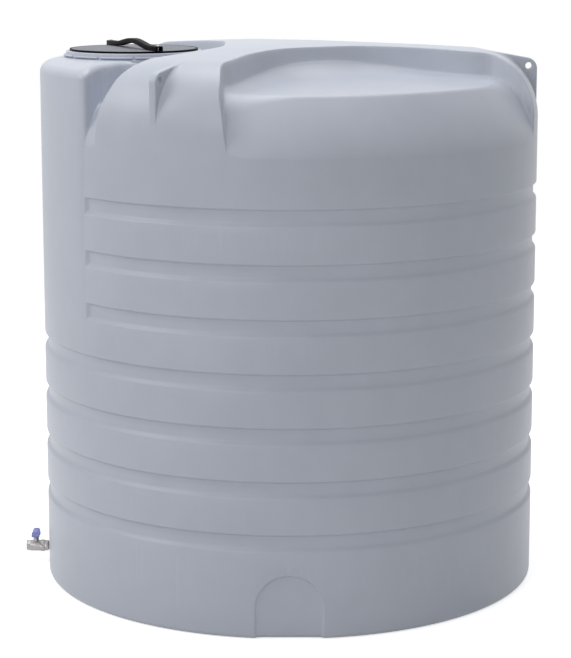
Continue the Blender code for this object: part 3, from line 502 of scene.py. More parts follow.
# The tower's top leans down a little in its last stretch before the wall
TOWER_LEAN = 0.020
TOWER_LEAN_REACH = 0.100


def top_height(r, angle):
    """Crown cut by the recesses, with tower and lug feet on it, and a rounding at each join."""
    crown = crown_height(r)
    height = crown
    for centre, *shape in RECESSES:
        turned = (angle - math.radians(centre) + math.pi) % (2 * math.pi) - math.pi
        recess = recess_height(r, turned, crown, *shape)
        height = soft_min(height, recess, RECESS_EDGE_ROUND)
    depth = tower_depth(r, angle)
    foot = TOWER_FOOT_ROUND
    near = np.clip(foot + depth, 0.0, foot)
    height = height + np.where(depth < 0, foot - np.sqrt(foot ** 2 - near ** 2), foot)
    edge = np.clip(TOWER_EDGE - depth, 0.0, TOWER_EDGE)
    lean = TOWER_LEAN * np.clip(1 - (RADIUS - r) / TOWER_LEAN_REACH, 0.0, 1.0) ** 1.5
    tower = (TOWER_TOP - lean - TOWER_EDGE + np.sqrt(TOWER_EDGE ** 2 - edge ** 2)
             + TOWER_STEEP * np.minimum(depth, 0.0))
    return soft_max(height, tower, TOWER_SEAM) + lug_fillet(r, angle, crown)


tower_front = float(top_height(np.array([RADIUS - TOWER_LEAN_REACH]), np.array([0.0]))[0])
print(f"the tower's top stands {tower_front:.3f} m above the ground")

# %% [markdown]
# ### Wall, grooves and arches
# Seven hoop grooves stiffen the wall. The upper three stop at the plain front panel with sloped
# ends. Four arched recesses at the base each give a flat face for an outlet. They could be cut
# with booleans, but as a radius over angle and height they share the skin's one smooth grid.

# %% Radius of the wall over height and angle
# The panel's half width is in degrees, and every other size is in metres
PANEL_HALF = 39.2
SHORT_GROOVES = 3
GROOVE_TOP = CROWN - 0.526
GROOVE_PITCH = 0.186
GROOVE_COUNT = 7
GROOVE_DEPTH = 0.012
GROOVE_ROOF = 0.0270
GROOVE_ROOF_SLOPE = 1.9
GROOVE_SILL = 0.0345
GROOVE_SILL_SLOPE = 0.95
GROOVE_LIP_ROUND = 0.003
GROOVE_ROOT_ROUND = 0.004
BASE_ROUND = 0.018
ARCH_HALF = 0.117
ARCH_HEIGHT = 0.225
ARCH_FACE = RADIUS - 0.017
ARCH_FILLET = 0.026
ARCH_EDGE = 0.009
ARCH_EDGE_SHARE = 0.7


def wall_radius(angle, z):
    """Distance of the skin from the tank's axis, by turn from the front and height."""
    radius = np.full(z.shape, RADIUS)
    beside_panel = (np.abs(angle) - math.radians(PANEL_HALF)) * RADIUS
    for k in range(GROOVE_COUNT):
        above = z - (GROOVE_TOP - k * GROOVE_PITCH)
        reach = np.minimum(GROOVE_ROOF_SLOPE * (GROOVE_ROOF - above),
                           GROOVE_SILL_SLOPE * (above + GROOVE_SILL))
        if k < SHORT_GROOVES:
            reach = soft_min(reach, beside_panel, GROOVE_ROOT_ROUND)
        cut = soft_max(reach, 0.0, GROOVE_LIP_ROUND)
        radius = radius - soft_min(cut, GROOVE_DEPTH, GROOVE_ROOT_ROUND)
    turned = (angle + math.pi / 4) % (math.pi / 2) - math.pi / 4
    across = np.abs(RADIUS * np.sin(turned))
    spring = ARCH_HEIGHT - ARCH_HALF
    depth = ARCH_HALF - np.where(z > spring, np.hypot(across, z - spring), across)
    face = ARCH_FACE / np.cos(turned)
    hollow = 1 - (1 - np.clip(depth / ARCH_FILLET, 0.0, 1.0)) ** 2
    edge = ease(depth / ARCH_EDGE + 0.5)
    inset = ARCH_EDGE_SHARE * edge + (1 - ARCH_EDGE_SHARE) * hollow
    radius = radius - (radius - face) * inset
    low = np.clip(BASE_ROUND - z, 0.0, BASE_ROUND)
    return radius - (BASE_ROUND - np.sqrt(BASE_ROUND ** 2 - low ** 2))


lowest_groove = GROOVE_TOP - (GROOVE_COUNT - 1) * GROOVE_PITCH
print(f"{GROOVE_COUNT} grooves, the lowest {lowest_groove:.3f} m above the ground")

# %% [markdown]
# ### From formulas to one skin
# The grid is finest where an edge runs across it. It has far too many faces to keep, so a
# Decimate modifier thins it where the surface is calm, and a Data Transfer modifier copies the
# fine grid's normals to what is left, so that the shading stays that of the fine surface.

# %% Columns and rows of the grid
def spaced(stops):
    """Steps along a line: each stop is (start, step), and the last one only ends the line."""
    values = []
    for (start, step), (end, _) in zip(stops, stops[1:]):
        count = max(1, round((end - start) / step))
        values += [start + (end - start) * k / count for k in range(count)]
    return np.array(values)


# Half a turn from the front in degrees, finest at the panel's side, the lugs and the arches
half_turn = spaced([
    (0, 0.3), (6.6, 0.12), (8.2, 0.55), (36, 0.10), (40.5, 0.2), (50, 0.5), (57.5, 0.16),
    (62.5, 0.5), (71.5, 0.17), (81.8, 0.12), (83.4, 0.3), (96.6, 0.12), (98.2, 0.55),
    (159.5, 0.17), (168.5, 0.4), (171.8, 0.12), (173.4, 0.4), (177.5, 0.16), (180, 1)])
angles = np.radians(np.concatenate([half_turn, 360.0 - half_turn[::-1][:-1]]))
angles = np.where(angles > math.pi, angles - 2 * math.pi, angles)

# Rings on the top, finest at the inner end of the recesses and closer towards the wall
shoulder_start = RADIUS - SHOULDER_REACH
inner_rings = spaced([(0.02, 0.02), (0.22, 0.0018), (0.30, 0.005), (shoulder_start, 1)])
turns = np.radians(spaced([(0, 1.25), (90, 1)]))
outer_rings = shoulder_start + SHOULDER_REACH * np.sin(turns)
radii = np.concatenate([[0.0002], inner_rings, outer_rings, [RADIUS]])
print(len(angles), "columns and", len(radii), "rings on the top")


# %% Dense points of the skin
WALL_TOP = GROOVE_TOP + 0.041
GROOVE_SPAN = 0.037
GROOVE_STEP = 0.0032
PLAIN_STEP = 0.03
ARCH_STEP = 0.003
SHOULDER_ROWS = 14
BASE_ROWS = 8


def skin_points(angles, radii):
    """Rows of points from the middle of the top, down the wall and in under the base."""
    r, a = np.meshgrid(radii, angles, indexing="ij")
    z = top_height(r, a)
    top = np.stack([r * np.sin(a), -r * np.cos(a), z], -1)
    shares = np.linspace(0.0, 1.0, SHOULDER_ROWS)[1:, None]
    upper = z[-1][None, :] * (1 - shares) + WALL_TOP * shares
    stops = []
    for k in range(GROOVE_COUNT):
        centre = GROOVE_TOP - k * GROOVE_PITCH
        stops.append((WALL_TOP - centre - GROOVE_SPAN, GROOVE_STEP))
        stops.append((WALL_TOP - centre + GROOVE_SPAN, PLAIN_STEP))
    stops += [(WALL_TOP - ARCH_HEIGHT - 0.010, ARCH_STEP), (WALL_TOP - BASE_ROUND, 1)]
    below = WALL_TOP - spaced(stops)
    base = BASE_ROUND * (1 - np.sin(np.radians(np.linspace(0, 90, BASE_ROWS))))
    heights = np.concatenate([below, base])[:, None]
    z_wall = np.vstack([upper, np.broadcast_to(heights, (len(heights), len(angles)))])
    a_wall = np.broadcast_to(angles, z_wall.shape)
    w = wall_radius(a_wall, z_wall)
    wall = np.stack([w * np.sin(a_wall), -w * np.cos(a_wall), z_wall], -1)
    shrink = np.array([0.8, 0.55, 0.3, 0.1, 0.0003])[:, None, None]
    bottom = wall[-1][None] * np.array([1.0, 1.0, 0.0]) * shrink
    return np.concatenate([top, wall, bottom])


points = skin_points(angles, radii)
print("dense skin:", points.shape[0], "rows,", points.shape[0] * points.shape[1], "points")


# %% Thin the grid and keep its normals
NECK_HOLE = NECK_RADIUS - 0.010
NECK_HOLE_DEEP = 0.060
SKIN_TRIANGLES = 186000


def open_neck(mesh):
    """Delete the tower's faces under the neck ring, where the inlet passes through."""
    bm = bmesh.new()
    bm.from_mesh(mesh)
    bmesh.ops.remove_doubles(bm, verts=bm.verts, dist=0.0001)
    gone = []
    for face in bm.faces:
        x, y, z = face.calc_center_median()
        if z > TOWER_TOP - NECK_HOLE_DEEP and math.hypot(x, y - NECK_Y) < NECK_HOLE:
            gone.append(face)
    bmesh.ops.delete(bm, geom=gone, context="FACES")
    bm.to_mesh(mesh)
    bm.free()
    return mesh


dense = new_object("skin_dense", open_neck(grid_mesh("skin_dense", points)))
dense_triangles = 2 * len(dense.data.polygons)
shell = new_object("tank_shell", dense.data.copy())
shell.modifiers.new("thin", "DECIMATE").ratio = SKIN_TRIANGLES / dense_triangles
apply_modifiers(shell)
copy_normals = shell.modifiers.new("normals", "DATA_TRANSFER")
copy_normals.object = dense
copy_normals.use_loop_data = True
copy_normals.data_types_loops = {"CUSTOM_NORMAL"}
copy_normals.loop_mapping = "POLYINTERP_NEAREST"
apply_modifiers(shell)
bpy.data.objects.remove(dense)
finish_piece(shell, "tank", "tank_polyethylene", tank_plastic, "tank_body")

# %% [markdown]
# ## Neck ring
# The inlet neck stands on the tower. A Screw modifier could spin its outline, but the grid
# helper is already here, so the outline is turned round its own axis as one more grid. A flare at
# the foot melts into the tower's top.

# %% Turned pieces
def turned_piece(name, profile, segments, axis_y):
    """A ring turned about an upright axis from a closed outline of (radius, height)."""
    outline = np.array(profile, float)
    turns = np.linspace(0.0, 2 * math.pi, segments, endpoint=False)
    r, a = np.meshgrid(outline[:, 0], turns, indexing="ij")
    z = np.broadcast_to(outline[:, 1][:, None], r.shape)
    points = np.stack([r * np.sin(a), axis_y - r * np.cos(a), z], -1)
    mesh = grid_mesh(name, np.concatenate([points, points[:1]]))
    close_up(mesh)
    piece = new_object(name, mesh)
    shade_with_creases(piece, 35)
    return piece


def corner(centre, radius, start, end, steps=5):
    """Points of a rounded corner in an outline."""
    turns = np.radians(np.linspace(start, end, steps))
    return [(centre[0] + radius * math.cos(t), centre[1] + radius * math.sin(t)) for t in turns]


# %% Neck
NECK_RIM = CROWN - 0.027
NECK_BORE = 0.226
NECK_SUNK = 0.020
NECK_SEGMENTS = 192
RIM_ROUND = 0.003
FLARE_WIDE = 0.004
FLARE_HIGH = 0.005
collar_out = COLLAR_RADIUS - FLARE_WIDE
neck_outline = [(NECK_BORE, TOWER_TOP - NECK_SUNK), (collar_out, TOWER_TOP - NECK_SUNK),
                (collar_out, TOWER_TOP - 0.0008)]
for t in np.linspace(0.15, math.pi / 2, 7):
    flare = FLARE_WIDE * (1 - math.sin(t)) ** 1.5
    neck_outline.append((NECK_RADIUS + flare, TOWER_TOP + FLARE_HIGH * t / (math.pi / 2)))
neck_outline += corner((NECK_RADIUS - RIM_ROUND, NECK_RIM - RIM_ROUND), RIM_ROUND, 0, 90)
neck_outline += corner((NECK_BORE + RIM_ROUND, NECK_RIM - RIM_ROUND), RIM_ROUND, 90, 180)
neck = turned_piece("inlet_neck", neck_outline, NECK_SEGMENTS, NECK_Y)
finish_piece(neck, "tank", "tank_polyethylene", tank_plastic, "tank_body")

# %% [markdown]
# ## Lifting lugs
# Each rib ends in an upright web with a hole, for a crane hook. Three lugs could be modelled one by
# one, but they are all alike, so one outline is extruded and its edges are bevelled, and Geometry
# Nodes stand a copy on each of the three ribs. A change to the one then changes them all.

# %% One lug
LUG_EDGE = RADIUS - 0.0013
LUG_SUNK = 0.006
LUG_CORNER = 0.041
LUG_CORNER_Z = CROWN - 0.095
LUG_HOLE = 0.0125
LUG_HOLE_R = LUG_EDGE - 0.0312
LUG_HOLE_Z = LUG_CORNER_Z + 0.011
LUG_EDGE_END = LUG_CORNER_Z - 0.150
LUG_ROOT_END = LUG_CORNER_Z - 0.190


def lug_mesh():
    """A lug on the front centre line, its outline in radius and height."""
    outline = []
    for r in (LUG_START_R, 0.78, 0.83, 0.87, 0.90):
        outline.append((r, float(crown_height(np.array(r))) - LUG_SUNK))
    outline.append((RADIUS - LUG_SUNK, LUG_ROOT_END))
    outline.append((LUG_EDGE, LUG_EDGE_END))
    outline += corner((LUG_EDGE - LUG_CORNER, LUG_CORNER_Z), LUG_CORNER, 0, 82, 12)
    outline.append((LUG_START_R, LUG_START_Z))
    bm = bmesh.new()
    hole = corner((LUG_HOLE_R, LUG_HOLE_Z), LUG_HOLE, 0, 345, 24)
    front = [bm.verts.new((-LUG_THICK / 2, -r, z)) for r, z in outline]
    ring = [bm.verts.new((-LUG_THICK / 2, -r, z)) for r, z in hole]
    edges = []
    for loop in (front, ring):
        edges += [bm.edges.new(pair) for pair in zip(loop, loop[1:] + loop[:1])]
    faces = bmesh.ops.triangle_fill(bm, edges=edges, use_beauty=True, use_dissolve=True)["geom"]
    faces = [f for f in faces if isinstance(f, bmesh.types.BMFace)]
    raised = bmesh.ops.extrude_face_region(bm, geom=faces)["geom"]
    moved = [v for v in raised if isinstance(v, bmesh.types.BMVert)]
    bmesh.ops.translate(bm, verts=moved, vec=(LUG_THICK, 0, 0))
    bmesh.ops.recalc_face_normals(bm, faces=bm.faces)
    return mesh_of(bm, "lug")


def round_edges(piece, width, segments, from_degrees):
    """Bevel the edges where faces meet at more than the angle."""
    edge = piece.modifiers.new("edge", "BEVEL")
    edge.width = width
    edge.segments = segments
    edge.limit_method = "ANGLE"
    edge.angle_limit = math.radians(from_degrees)
    return edge


one_lug = new_object("lug_pattern", lug_mesh())
round_edges(one_lug, 0.0035, 3, 40)
apply_modifiers(one_lug)
shade_with_creases(one_lug, 50)
print("one lug:", len(one_lug.data.polygons), "faces")


# %% A ring of copies by Geometry Nodes
def copies_round(name, pattern, count, first_angle, centre_y, material):
    """Stand copies of a pattern round an upright axis at (0, centre_y).

    Copy number i is turned by i times a full turn over the count, plus the first angle.
    """
    tree = bpy.data.node_groups.new(name, "GeometryNodeTree")
    tree.interface.new_socket("Geometry", in_out="INPUT", socket_type="NodeSocketGeometry")
    number = tree.interface.new_socket("Count", in_out="INPUT", socket_type="NodeSocketInt")
    first = tree.interface.new_socket("First angle", in_out="INPUT", socket_type="NodeSocketFloat")
    tree.interface.new_socket("Geometry", in_out="OUTPUT", socket_type="NodeSocketGeometry")
    add = tree.nodes.new
    start, end = add("NodeGroupInput"), add("NodeGroupOutput")
    points = add("GeometryNodePoints")
    index = add("GeometryNodeInputIndex")
    pitch = add("ShaderNodeMath")
    pitch.operation = "DIVIDE"
    pitch.inputs[0].default_value = 2 * math.pi
    turn = add("ShaderNodeMath")
    turn.operation = "MULTIPLY_ADD"
    euler = add("ShaderNodeCombineXYZ")
    instance = add("GeometryNodeInstanceOnPoints")
    rotate = add("FunctionNodeEulerToRotation")
    pattern_info = add("GeometryNodeObjectInfo")
    pattern_info.inputs["Object"].default_value = pattern
    points.inputs["Position"].default_value = (0.0, centre_y, 0.0)
    realize = add("GeometryNodeRealizeInstances")
    paint = add("GeometryNodeSetMaterial")
    paint.inputs["Material"].default_value = material
    link = tree.links.new
    link(start.outputs["Count"], points.inputs["Count"])
    link(start.outputs["Count"], pitch.inputs[1])
    link(index.outputs[0], turn.inputs[0])
    link(pitch.outputs[0], turn.inputs[1])
    link(start.outputs["First angle"], turn.inputs[2])
    link(turn.outputs[0], euler.inputs["Z"])
    link(euler.outputs[0], rotate.inputs[0])
    link(points.outputs[0], instance.inputs["Points"])
    link(pattern_info.outputs["Geometry"], instance.inputs["Instance"])
    link(rotate.outputs[0], instance.inputs["Rotation"])
    link(instance.outputs[0], realize.inputs[0])
    link(realize.outputs[0], paint.inputs["Geometry"])
    link(paint.outputs[0], end.inputs[0])
    piece = new_object(name, bpy.data.meshes.new(name))
    modifier = piece.modifiers.new("copies", "NODES")
    modifier.node_group = tree
    modifier[number.identifier] = count
    modifier[first.identifier] = first_angle
    apply_modifiers(piece)
    bpy.data.objects.remove(pattern)
    return piece


lugs = copies_round("lifting_lugs", one_lug, 3, math.radians(60.0), 0.0, tank_plastic)
finish_piece(lugs, "tank", "tank_polyethylene", tank_plastic, "tank_body")

# %% [markdown]
# ## Keys round the neck
# A ring of twelve low keys under the rim lets a lid lock on. They are alike and evenly spaced, so
# one key is made as a bent bar, and the same Geometry Nodes tree as for the lugs repeats it.

# %% One key, repeated
KEY_IN = NECK_RADIUS - 0.004
KEY_OUT = NECK_RADIUS + 0.009
KEY_TOP = NECK_RIM - 0.0123
KEY_THICK = 0.0055
KEY_PITCH = 30.0
KEY_GAP = 2.0
KEY_TURN = 4.2


def key_mesh():
    """A bar of rectangular section, bent round the neck's axis."""
    low = KEY_TOP - KEY_THICK
    profile = [(KEY_IN, low), (KEY_OUT, low), (KEY_OUT, KEY_TOP), (KEY_IN, KEY_TOP)]
    bm = bmesh.new()
    rings = []
    for angle in np.radians(np.linspace(0.5 * KEY_GAP, KEY_PITCH - 0.5 * KEY_GAP, 13)):
        side, ahead = math.sin(angle), -math.cos(angle)
        rings.append([bm.verts.new((r * side, r * ahead, z)) for r, z in profile])
    for a, b in zip(rings, rings[1:]):
        for k in range(4):
            bm.faces.new((a[k], a[(k + 1) % 4], b[(k + 1) % 4], b[k]))
    bm.faces.new(rings[0])
    bm.faces.new(rings[-1])
    bmesh.ops.recalc_face_normals(bm, faces=bm.faces)
    return mesh_of(bm, "key")


one_key = new_object("key_pattern", key_mesh())
round_edges(one_key, 0.0018, 2, 30)
apply_modifiers(one_key)
one_key.data.shade_smooth()
key_count = round(360 / KEY_PITCH)
first_key = math.radians(KEY_TURN)
keys = copies_round("neck_keys", one_key, key_count, first_key, NECK_Y, tank_plastic)
finish_piece(keys, "tank", "tank_polyethylene", tank_plastic, "tank_body")

# %% [markdown]
# ## Metals, rubber and the small plastics
# Worn metal isn't one even colour. A broad noise moves tone and roughness a little, a fine one
# gives the surface its grain, and a dusty film settles on faces that look up, which the normal's
# upright share picks out. The strainer's wires could be modelled one by one, but there are well
# over a hundred each way, so two sine waves that cross give their bump, and the gaps between
# them get a painted shade that stands for the shaded inside of the tank seen through the holes.

# %% Small finishes
FINE_GRAIN = 0.00005


def darker(colour, share):
    """The colour times a share, still opaque."""
    return tuple(share * part for part in colour[:3]) + (1.0,)


def plain_metal(name, colour, roughness, grain=FINE_GRAIN):
    """Metal with a fine grain and a thin film of dust where it faces up."""
    paint = Paint(name, Metallic=1.0)
    fine = paint.noise(0.0006, 2.0)
    broad = paint.noise(0.010, 3.0, shift=2.0)
    normal = paint.add("NewGeometry", output="Normal")
    upright = paint.add("SeparateXYZ", {}, {0: normal}, "Z")
    film = upright.between(0.3, 1.0) * broad.between(0.4, 0.7) * 0.35
    shade = paint.mix(broad, darker(colour, 0.84), colour)
    shade = paint.mix(film, shade, srgb(150, 146, 138))
    return paint.feed(Base_Color=shade, Roughness=roughness + broad * 0.12 + film * 0.6,
                      Normal=paint.bump(fine, grain))


def plain_plastic(name, colour, roughness, level=0.4, bend=1.5):
    """Plastic or rubber; level and bend say how strongly its surface mirrors."""
    paint = Paint(name, Specular_IOR_Level=level, IOR=bend)
    fine = paint.noise(0.0008, 2.0)
    broad = paint.noise(0.03, 3.0, shift=2.0)
    shade = paint.mix(broad, darker(colour, 0.8), colour)
    return paint.feed(Base_Color=shade, Roughness=roughness + broad * 0.1,
                      Normal=paint.bump(fine, FINE_GRAIN))


def woven_steel(name, wire_pitch):
    """Plain-woven stainless wire, two crossed sets that take turns on top, and painted shade in the
    gaps.
    """
    paint = Paint(name, Metallic=0.55)
    where = paint.place(math.pi / wire_pitch)
    x = paint.add("SeparateXYZ", {}, {0: where}, "X")
    y = paint.add("SeparateXYZ", {}, {0: where}, "Y")
    over = x.sine() * y.sine()
    wires = (x + math.pi / 2).sine().absolute() + (y + math.pi / 2).sine().absolute()
    # Painted shade: this mask marks the gaps between the wires, which are darkened to stand for the
    # shaded inside of the tank
    gap = wires.between(0.9, 0.2)
    broad = paint.noise(0.06, 3.0, shift=5.0)
    shade = paint.mix(broad, srgb(106, 109, 118), srgb(120, 123, 133))
    # The gaps are mixed towards dark grey as painted shade, not as a colour of the steel
    shade = paint.mix(gap * 0.75, shade, srgb(52, 53, 58))
    return paint.feed(Base_Color=shade, Roughness=0.46 + broad * 0.14,
                      Normal=paint.bump(over * 0.5 + wires * 0.5, 0.00035))


WIRE_PITCH = 0.0025
finishes = {
    "black_moulding": plain_plastic("black_moulding", srgb(17, 9, 13), 0.36, 0.5, 1.12),
    "strainer_mesh_steel": woven_steel("strainer_mesh_steel", WIRE_PITCH),
    "nickel_plated_brass": plain_metal("nickel_plated_brass", srgb(166, 163, 164), 0.27),
    "plain_brass": plain_metal("plain_brass", srgb(205, 170, 105), 0.30),
    "stainless_steel": plain_metal("stainless_steel", srgb(196, 196, 198), 0.30),
    "ball_chrome": plain_metal("ball_chrome", srgb(225, 226, 230), 0.08, 0.00001),
    "black_rubber": plain_plastic("black_rubber", srgb(30, 30, 30), 0.75, 0.2),
    "white_nylon": plain_plastic("white_nylon", srgb(225, 225, 218), 0.50),
    "seat_plastic": plain_plastic("seat_plastic", srgb(238, 238, 234), 0.45),
    "handle_blue": plain_plastic("handle_blue", srgb(158, 164, 236), 0.25, 0.6),
}
print(len(finishes), "small finishes:", ", ".join(sorted(finishes)))

# %% [markdown]
# ## Small parts over their solids
# Machined and moulded parts have broken edges, and those thin lines of light are what makes them
# look real. They could be modelled anew, but their solids already have every size. So each solid
# is copied, its flat faces are joined, and a Bevel modifier rounds the edges that are left.

# %% Rounded copies of the solids
LEVER_NODES = ("valve_ball", "valve_stem", "valve_handle", "handle_nut")
slots = {part["node"]: part["material_slot"] for part in frame["record"]["subparts"]}


def body_of(node):
    """The moving body that a solid belongs to."""
    return "valve_lever" if node in LEVER_NODES else "tank"


def rounded_copy(node, width):
    """A copy of a solid with its hard edges rounded, ready to be finished."""
    bm = bmesh.new()
    bm.from_mesh(frame["nodes"][node].data)
    bmesh.ops.remove_doubles(bm, verts=bm.verts, dist=0.000005)
    bmesh.ops.dissolve_limit(bm, angle_limit=math.radians(0.5), verts=bm.verts, edges=bm.edges)
    bmesh.ops.recalc_face_normals(bm, faces=bm.faces)
    piece = new_object(node + "_shown", mesh_of(bm, node + "_shown"))
    edge = round_edges(piece, width, 3, 32)
    edge.use_clamp_overlap = True
    edge.miter_outer = "MITER_ARC"
    apply_modifiers(piece)
    shade_with_creases(piece, 40)
    return piece


def finish_small(piece, node):
    """Finish a copy with the body and the slot that its solid has in the frame."""
    finish_piece(piece, body_of(node), slots[node], finishes[slots[node]], node)


edge_widths = {
    "strainer_basket": 0.0010, "strainer_mesh": 0.0004, "strainer_handle": 0.0016,
    "outlet_fitting": 0.0009, "outlet_gasket": 0.0006, "outlet_washer": 0.0006,
    "outlet_locknut": 0.0009, "outlet_nipple": 0.0008, "valve_body": 0.0008, "valve_end": 0.0008,
    "valve_ball": 0.0003, "ball_seat_inner": 0.0002, "ball_seat_outer": 0.0002,
    "valve_stem": 0.0003, "stem_washer": 0.0001, "stem_packing": 0.0003, "gland_nut": 0.0005,
    "valve_handle": 0.0009, "handle_nut": 0.0005,
}
for node, width in edge_widths.items():
    finish_small(rounded_copy(node, width), node)


# %% [markdown]
# ## Screws
# Two pan-head screws hold the strap. Each has a cross recess, which is cut with a Boolean modifier:
# the recess has flat sides and sharp corners, and a boolean leaves just those.

# %% Screws with a cross recess
CROSS_LONG = 0.0030
CROSS_THIN = 0.0006
CROSS_DEEP = 0.0014
SCREW_EDGE = 0.0006


def cross_cutter(name, x, y, top):
    """Two crossed bars that sink into a screw's head."""
    bm = bmesh.new()
    for along_x, along_y in ((CROSS_LONG, CROSS_THIN), (CROSS_THIN, CROSS_LONG)):
        made = bmesh.ops.create_cube(bm, size=2.0)["verts"]
        bmesh.ops.scale(bm, verts=made, vec=(along_x, along_y, CROSS_DEEP))
        bmesh.ops.translate(bm, verts=made, vec=(x, y, top))
    return new_object(name, mesh_of(bm, name))


for node in ("handle_screw_1", "handle_screw_2"):
    low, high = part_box(node)
    screw = rounded_copy(node, SCREW_EDGE)
    cutter = cross_cutter(node + "_cross", 0.5 * (low.x + high.x), 0.5 * (low.y + high.y), high.z)
    cut = screw.modifiers.new("cross", "BOOLEAN")
    cut.operation = "DIFFERENCE"
    cut.solver = "EXACT"
    cut.use_self = True
    cut.object = cutter
    apply_modifiers(screw)
    bpy.data.objects.remove(cutter)
    shade_with_creases(screw, 40)
    finish_small(screw, node)

# %% [markdown]
# ## Threads
# A pipe thread is a triangular ridge wound as a helix. A Screw modifier could wind it, but one more
# grid keeps the ends closed and lets the ridge fade out. The grid's radius rises and falls with
# the distance along the pipe plus a share of the turn, so the ridge climbs one pitch a turn.

# %% Helical threads
nipple_low, nipple_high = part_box("outlet_nipple")
VALVE_AXIS_Z = 0.5 * (nipple_low.z + nipple_high.z)
THREAD_PITCH = 0.00231
THREAD_DEEP = 0.0011
THREAD_SEGMENTS = 72
ROWS_PER_PITCH = 10


def thread_sleeve(name, start, end, root, crest, hidden):
    """A closed sleeve along the valve's axis, threaded on its root-to-crest side."""
    steps = math.ceil((end - start) / THREAD_PITCH * ROWS_PER_PITCH)
    rows = np.linspace(start, end, steps + 1)
    turns = np.linspace(0, 2 * math.pi, THREAD_SEGMENTS, endpoint=False)
    along, turn = np.meshgrid(rows, turns, indexing="ij")
    phase = (along / THREAD_PITCH + turn / (2 * math.pi)) % 1.0
    ridge = np.clip(1.25 - 2.5 * np.abs(phase - 0.5), 0.0, 1.0)
    fade = np.clip(np.minimum(along - start, end - along) / (0.6 * THREAD_PITCH), 0.0, 1.0)
    radius = root + (crest - root) * ridge * fade
    threaded = np.stack([radius * np.sin(turn), -along, VALVE_AXIS_Z + radius * np.cos(turn)], -1)
    back = np.stack([hidden * np.sin(turn), -along, VALVE_AXIS_Z + hidden * np.cos(turn)], -1)
    mesh = grid_mesh(name, np.concatenate([threaded, back[-1:], back[:1], threaded[:1]]))
    close_up(mesh)
    piece = new_object(name, mesh)
    shade_with_creases(piece, 60)
    return piece


fitting_face = -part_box("outlet_fitting")[0].y
body_face = -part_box("valve_body")[1].y
end_face = -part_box("valve_end")[0].y
nickel = finishes["nickel_plated_brass"]
NIPPLE_HEX = 0.0145
RUN_OUT = 0.0012
SOCKET_DEPTH = 0.0115
PIPE_RADIUS = 0.01485

# The nipple's thread stands on its pipe, and the sleeve's back is hidden inside the pipe
male = thread_sleeve("nipple_thread", fitting_face + 0.0004, body_face - NIPPLE_HEX - RUN_OUT,
                     PIPE_RADIUS - 0.0001, PIPE_RADIUS + THREAD_DEEP, PIPE_RADIUS - 0.0015)
finish_piece(male, "tank", "nickel_plated_brass", nickel, "outlet_nipple")

# The socket's thread points inwards, and the sleeve's back is hidden in the socket's wall
female = thread_sleeve("valve_end_thread", end_face - SOCKET_DEPTH, end_face - RUN_OUT,
                       PIPE_RADIUS + 0.0004, PIPE_RADIUS - THREAD_DEEP, PIPE_RADIUS + 0.0009)
finish_piece(female, "tank", "nickel_plated_brass", nickel, "valve_end")

# %% [markdown]
# ## Stage
# The tank stands on a white floor in a white room, as in a studio. More light would bleach the
# tank itself, so the white is made another way: to the camera and in reflections the floor glows
# and the world is at full white, while on the tank they shed much less light. Light Path tells
# the shader which kind of ray is asking.

# %% Materials of the stage
FLOOR_HALF = 14.0
FLOOR_Z = -0.0005
FLOOR_GLOW = 0.62
AMBIENT = 0.43


def seen_directly(tree):
    """A socket that is 1 for camera, glossy and transmission rays, and 0 for the others."""
    rays = tree.nodes.new("ShaderNodeLightPath")
    shown = rays.outputs["Is Camera Ray"]
    for kind in ("Is Glossy Ray", "Is Transmission Ray"):
        either = tree.nodes.new("ShaderNodeMath")
        either.operation = "MAXIMUM"
        tree.links.new(shown, either.inputs[0])
        tree.links.new(rays.outputs[kind], either.inputs[1])
        shown = either.outputs[0]
    return shown


def grey(value):
    """An opaque grey."""
    return (value, value, value, 1.0)


def floor_material():
    """Pale and glowing where it is seen, and plain grey to the light that bounces."""
    material = bpy.data.materials.new("studio_floor")
    material.use_nodes = True
    tree = material.node_tree
    tree.nodes.clear()
    out = tree.nodes.new("ShaderNodeOutputMaterial")
    lit = tree.nodes.new("ShaderNodeBsdfDiffuse")
    lit.inputs["Color"].default_value = grey(0.86)
    bounced = tree.nodes.new("ShaderNodeBsdfDiffuse")
    bounced.inputs["Color"].default_value = grey(0.75)
    glow = tree.nodes.new("ShaderNodeEmission")
    glow.inputs["Strength"].default_value = FLOOR_GLOW
    both = tree.nodes.new("ShaderNodeAddShader")
    pick = tree.nodes.new("ShaderNodeMixShader")
    tree.links.new(lit.outputs[0], both.inputs[0])
    tree.links.new(glow.outputs[0], both.inputs[1])
    tree.links.new(seen_directly(tree), pick.inputs[0])
    tree.links.new(bounced.outputs[0], pick.inputs[1])
    tree.links.new(both.outputs[0], pick.inputs[2])
    tree.links.new(pick.outputs[0], out.inputs[0])
    return material


# %% Floor and world
half = FLOOR_HALF
corners = np.array([(-half, -half, FLOOR_Z), (half, -half, FLOOR_Z), (half, half, FLOOR_Z),
                    (-half, half, FLOOR_Z)])
floor = new_object("studio_floor", mesh_from("studio_floor", corners, np.array([[0, 1, 2, 3]])))
floor.data.materials.append(floor_material())

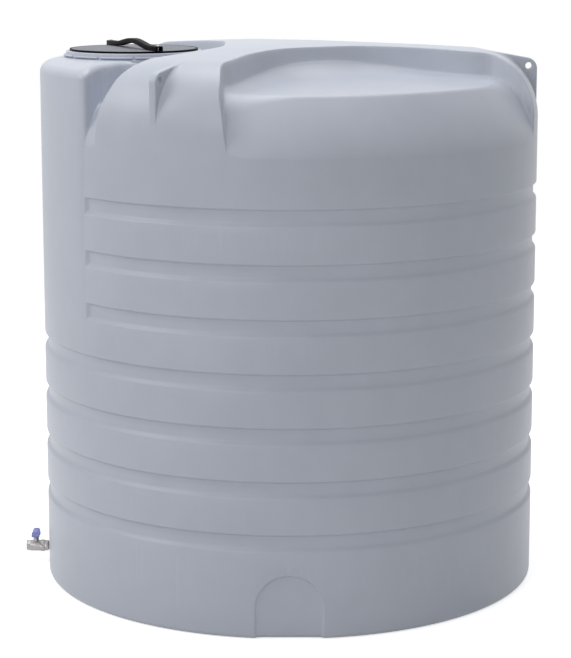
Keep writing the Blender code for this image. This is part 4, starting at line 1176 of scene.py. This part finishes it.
world = bpy.data.worlds.new("studio")
bpy.context.scene.world = world
world.use_nodes = True
sky = world.node_tree
strength = sky.nodes.new("ShaderNodeMapRange")
strength.inputs["To Min"].default_value = AMBIENT
strength.inputs["To Max"].default_value = 1.0
background = sky.nodes["Background"]
background.inputs["Color"].default_value = grey(1.0)
sky.links.new(seen_directly(sky), strength.inputs["Value"])
sky.links.new(strength.outputs[0], background.inputs["Strength"])
print("floor", 2 * FLOOR_HALF, "m wide, ambient light", AMBIENT)

# %% [markdown]
# ## Lamps
# Round area lamps act as soft boxes: the wider the lamp, the softer the edge of each shadow. The
# key light comes from the upper left, a second lamp hangs overhead and lights the recesses of the
# top, and a weaker one fills the side that faces the camera.

# %% Lamps
def softbox(name, place, aim, size, power):
    """A round area lamp at a place in metres, turned to an aim, with its power in watts."""
    lamp = bpy.data.lights.new(name, "AREA")
    lamp.shape = "DISK"
    lamp.size = size
    lamp.energy = power
    piece = bpy.data.objects.new(name, lamp)
    piece.location = place
    piece.rotation_euler = (Vector(aim) - Vector(place)).to_track_quat("-Z", "Y").to_euler()
    bpy.context.scene.collection.objects.link(piece)
    print(f"{name}: {size} m across, {power} W")


softbox("key_light", (1.3, -4.8, 5.0), (0, 0, 1.0), 3.0, 86)
softbox("top_light", (-0.6, 0.0, 6.0), (0, 0, 1.5), 4.0, 124)
softbox("fill_light", (7.0, -3.5, 4.0), (0, 0, 1.0), 3.0, 74)

# %% [markdown]
# ## Camera
# The camera looks along -X from about 7.8 m away and 9.7 degrees down, with a long lens that
# keeps the wall's sides nearly upright. It could be turned to centre the tank, but a small lens
# shift sets the tank's place in the picture and leaves the perspective alone.

# %% Camera
PITCH = math.radians(9.67)
view_camera = bpy.data.cameras.new("view_camera")
view_camera.sensor_fit = "VERTICAL"
view_camera.sensor_height = 36.0
view_camera.lens = 115.3
view_camera.shift_x = -0.00585
view_camera.shift_y = -0.0745
camera = bpy.data.objects.new("view_camera", view_camera)
camera.location = (7.8219, 0.0, 2.4279)
camera.rotation_euler = (math.pi / 2 - PITCH, 0.0, math.pi / 2)
bpy.context.scene.collection.objects.link(camera)
bpy.context.scene.camera = camera
bpy.context.scene.view_settings.view_transform = "Standard"
print("camera at", tuple(round(value, 3) for value in camera.location))
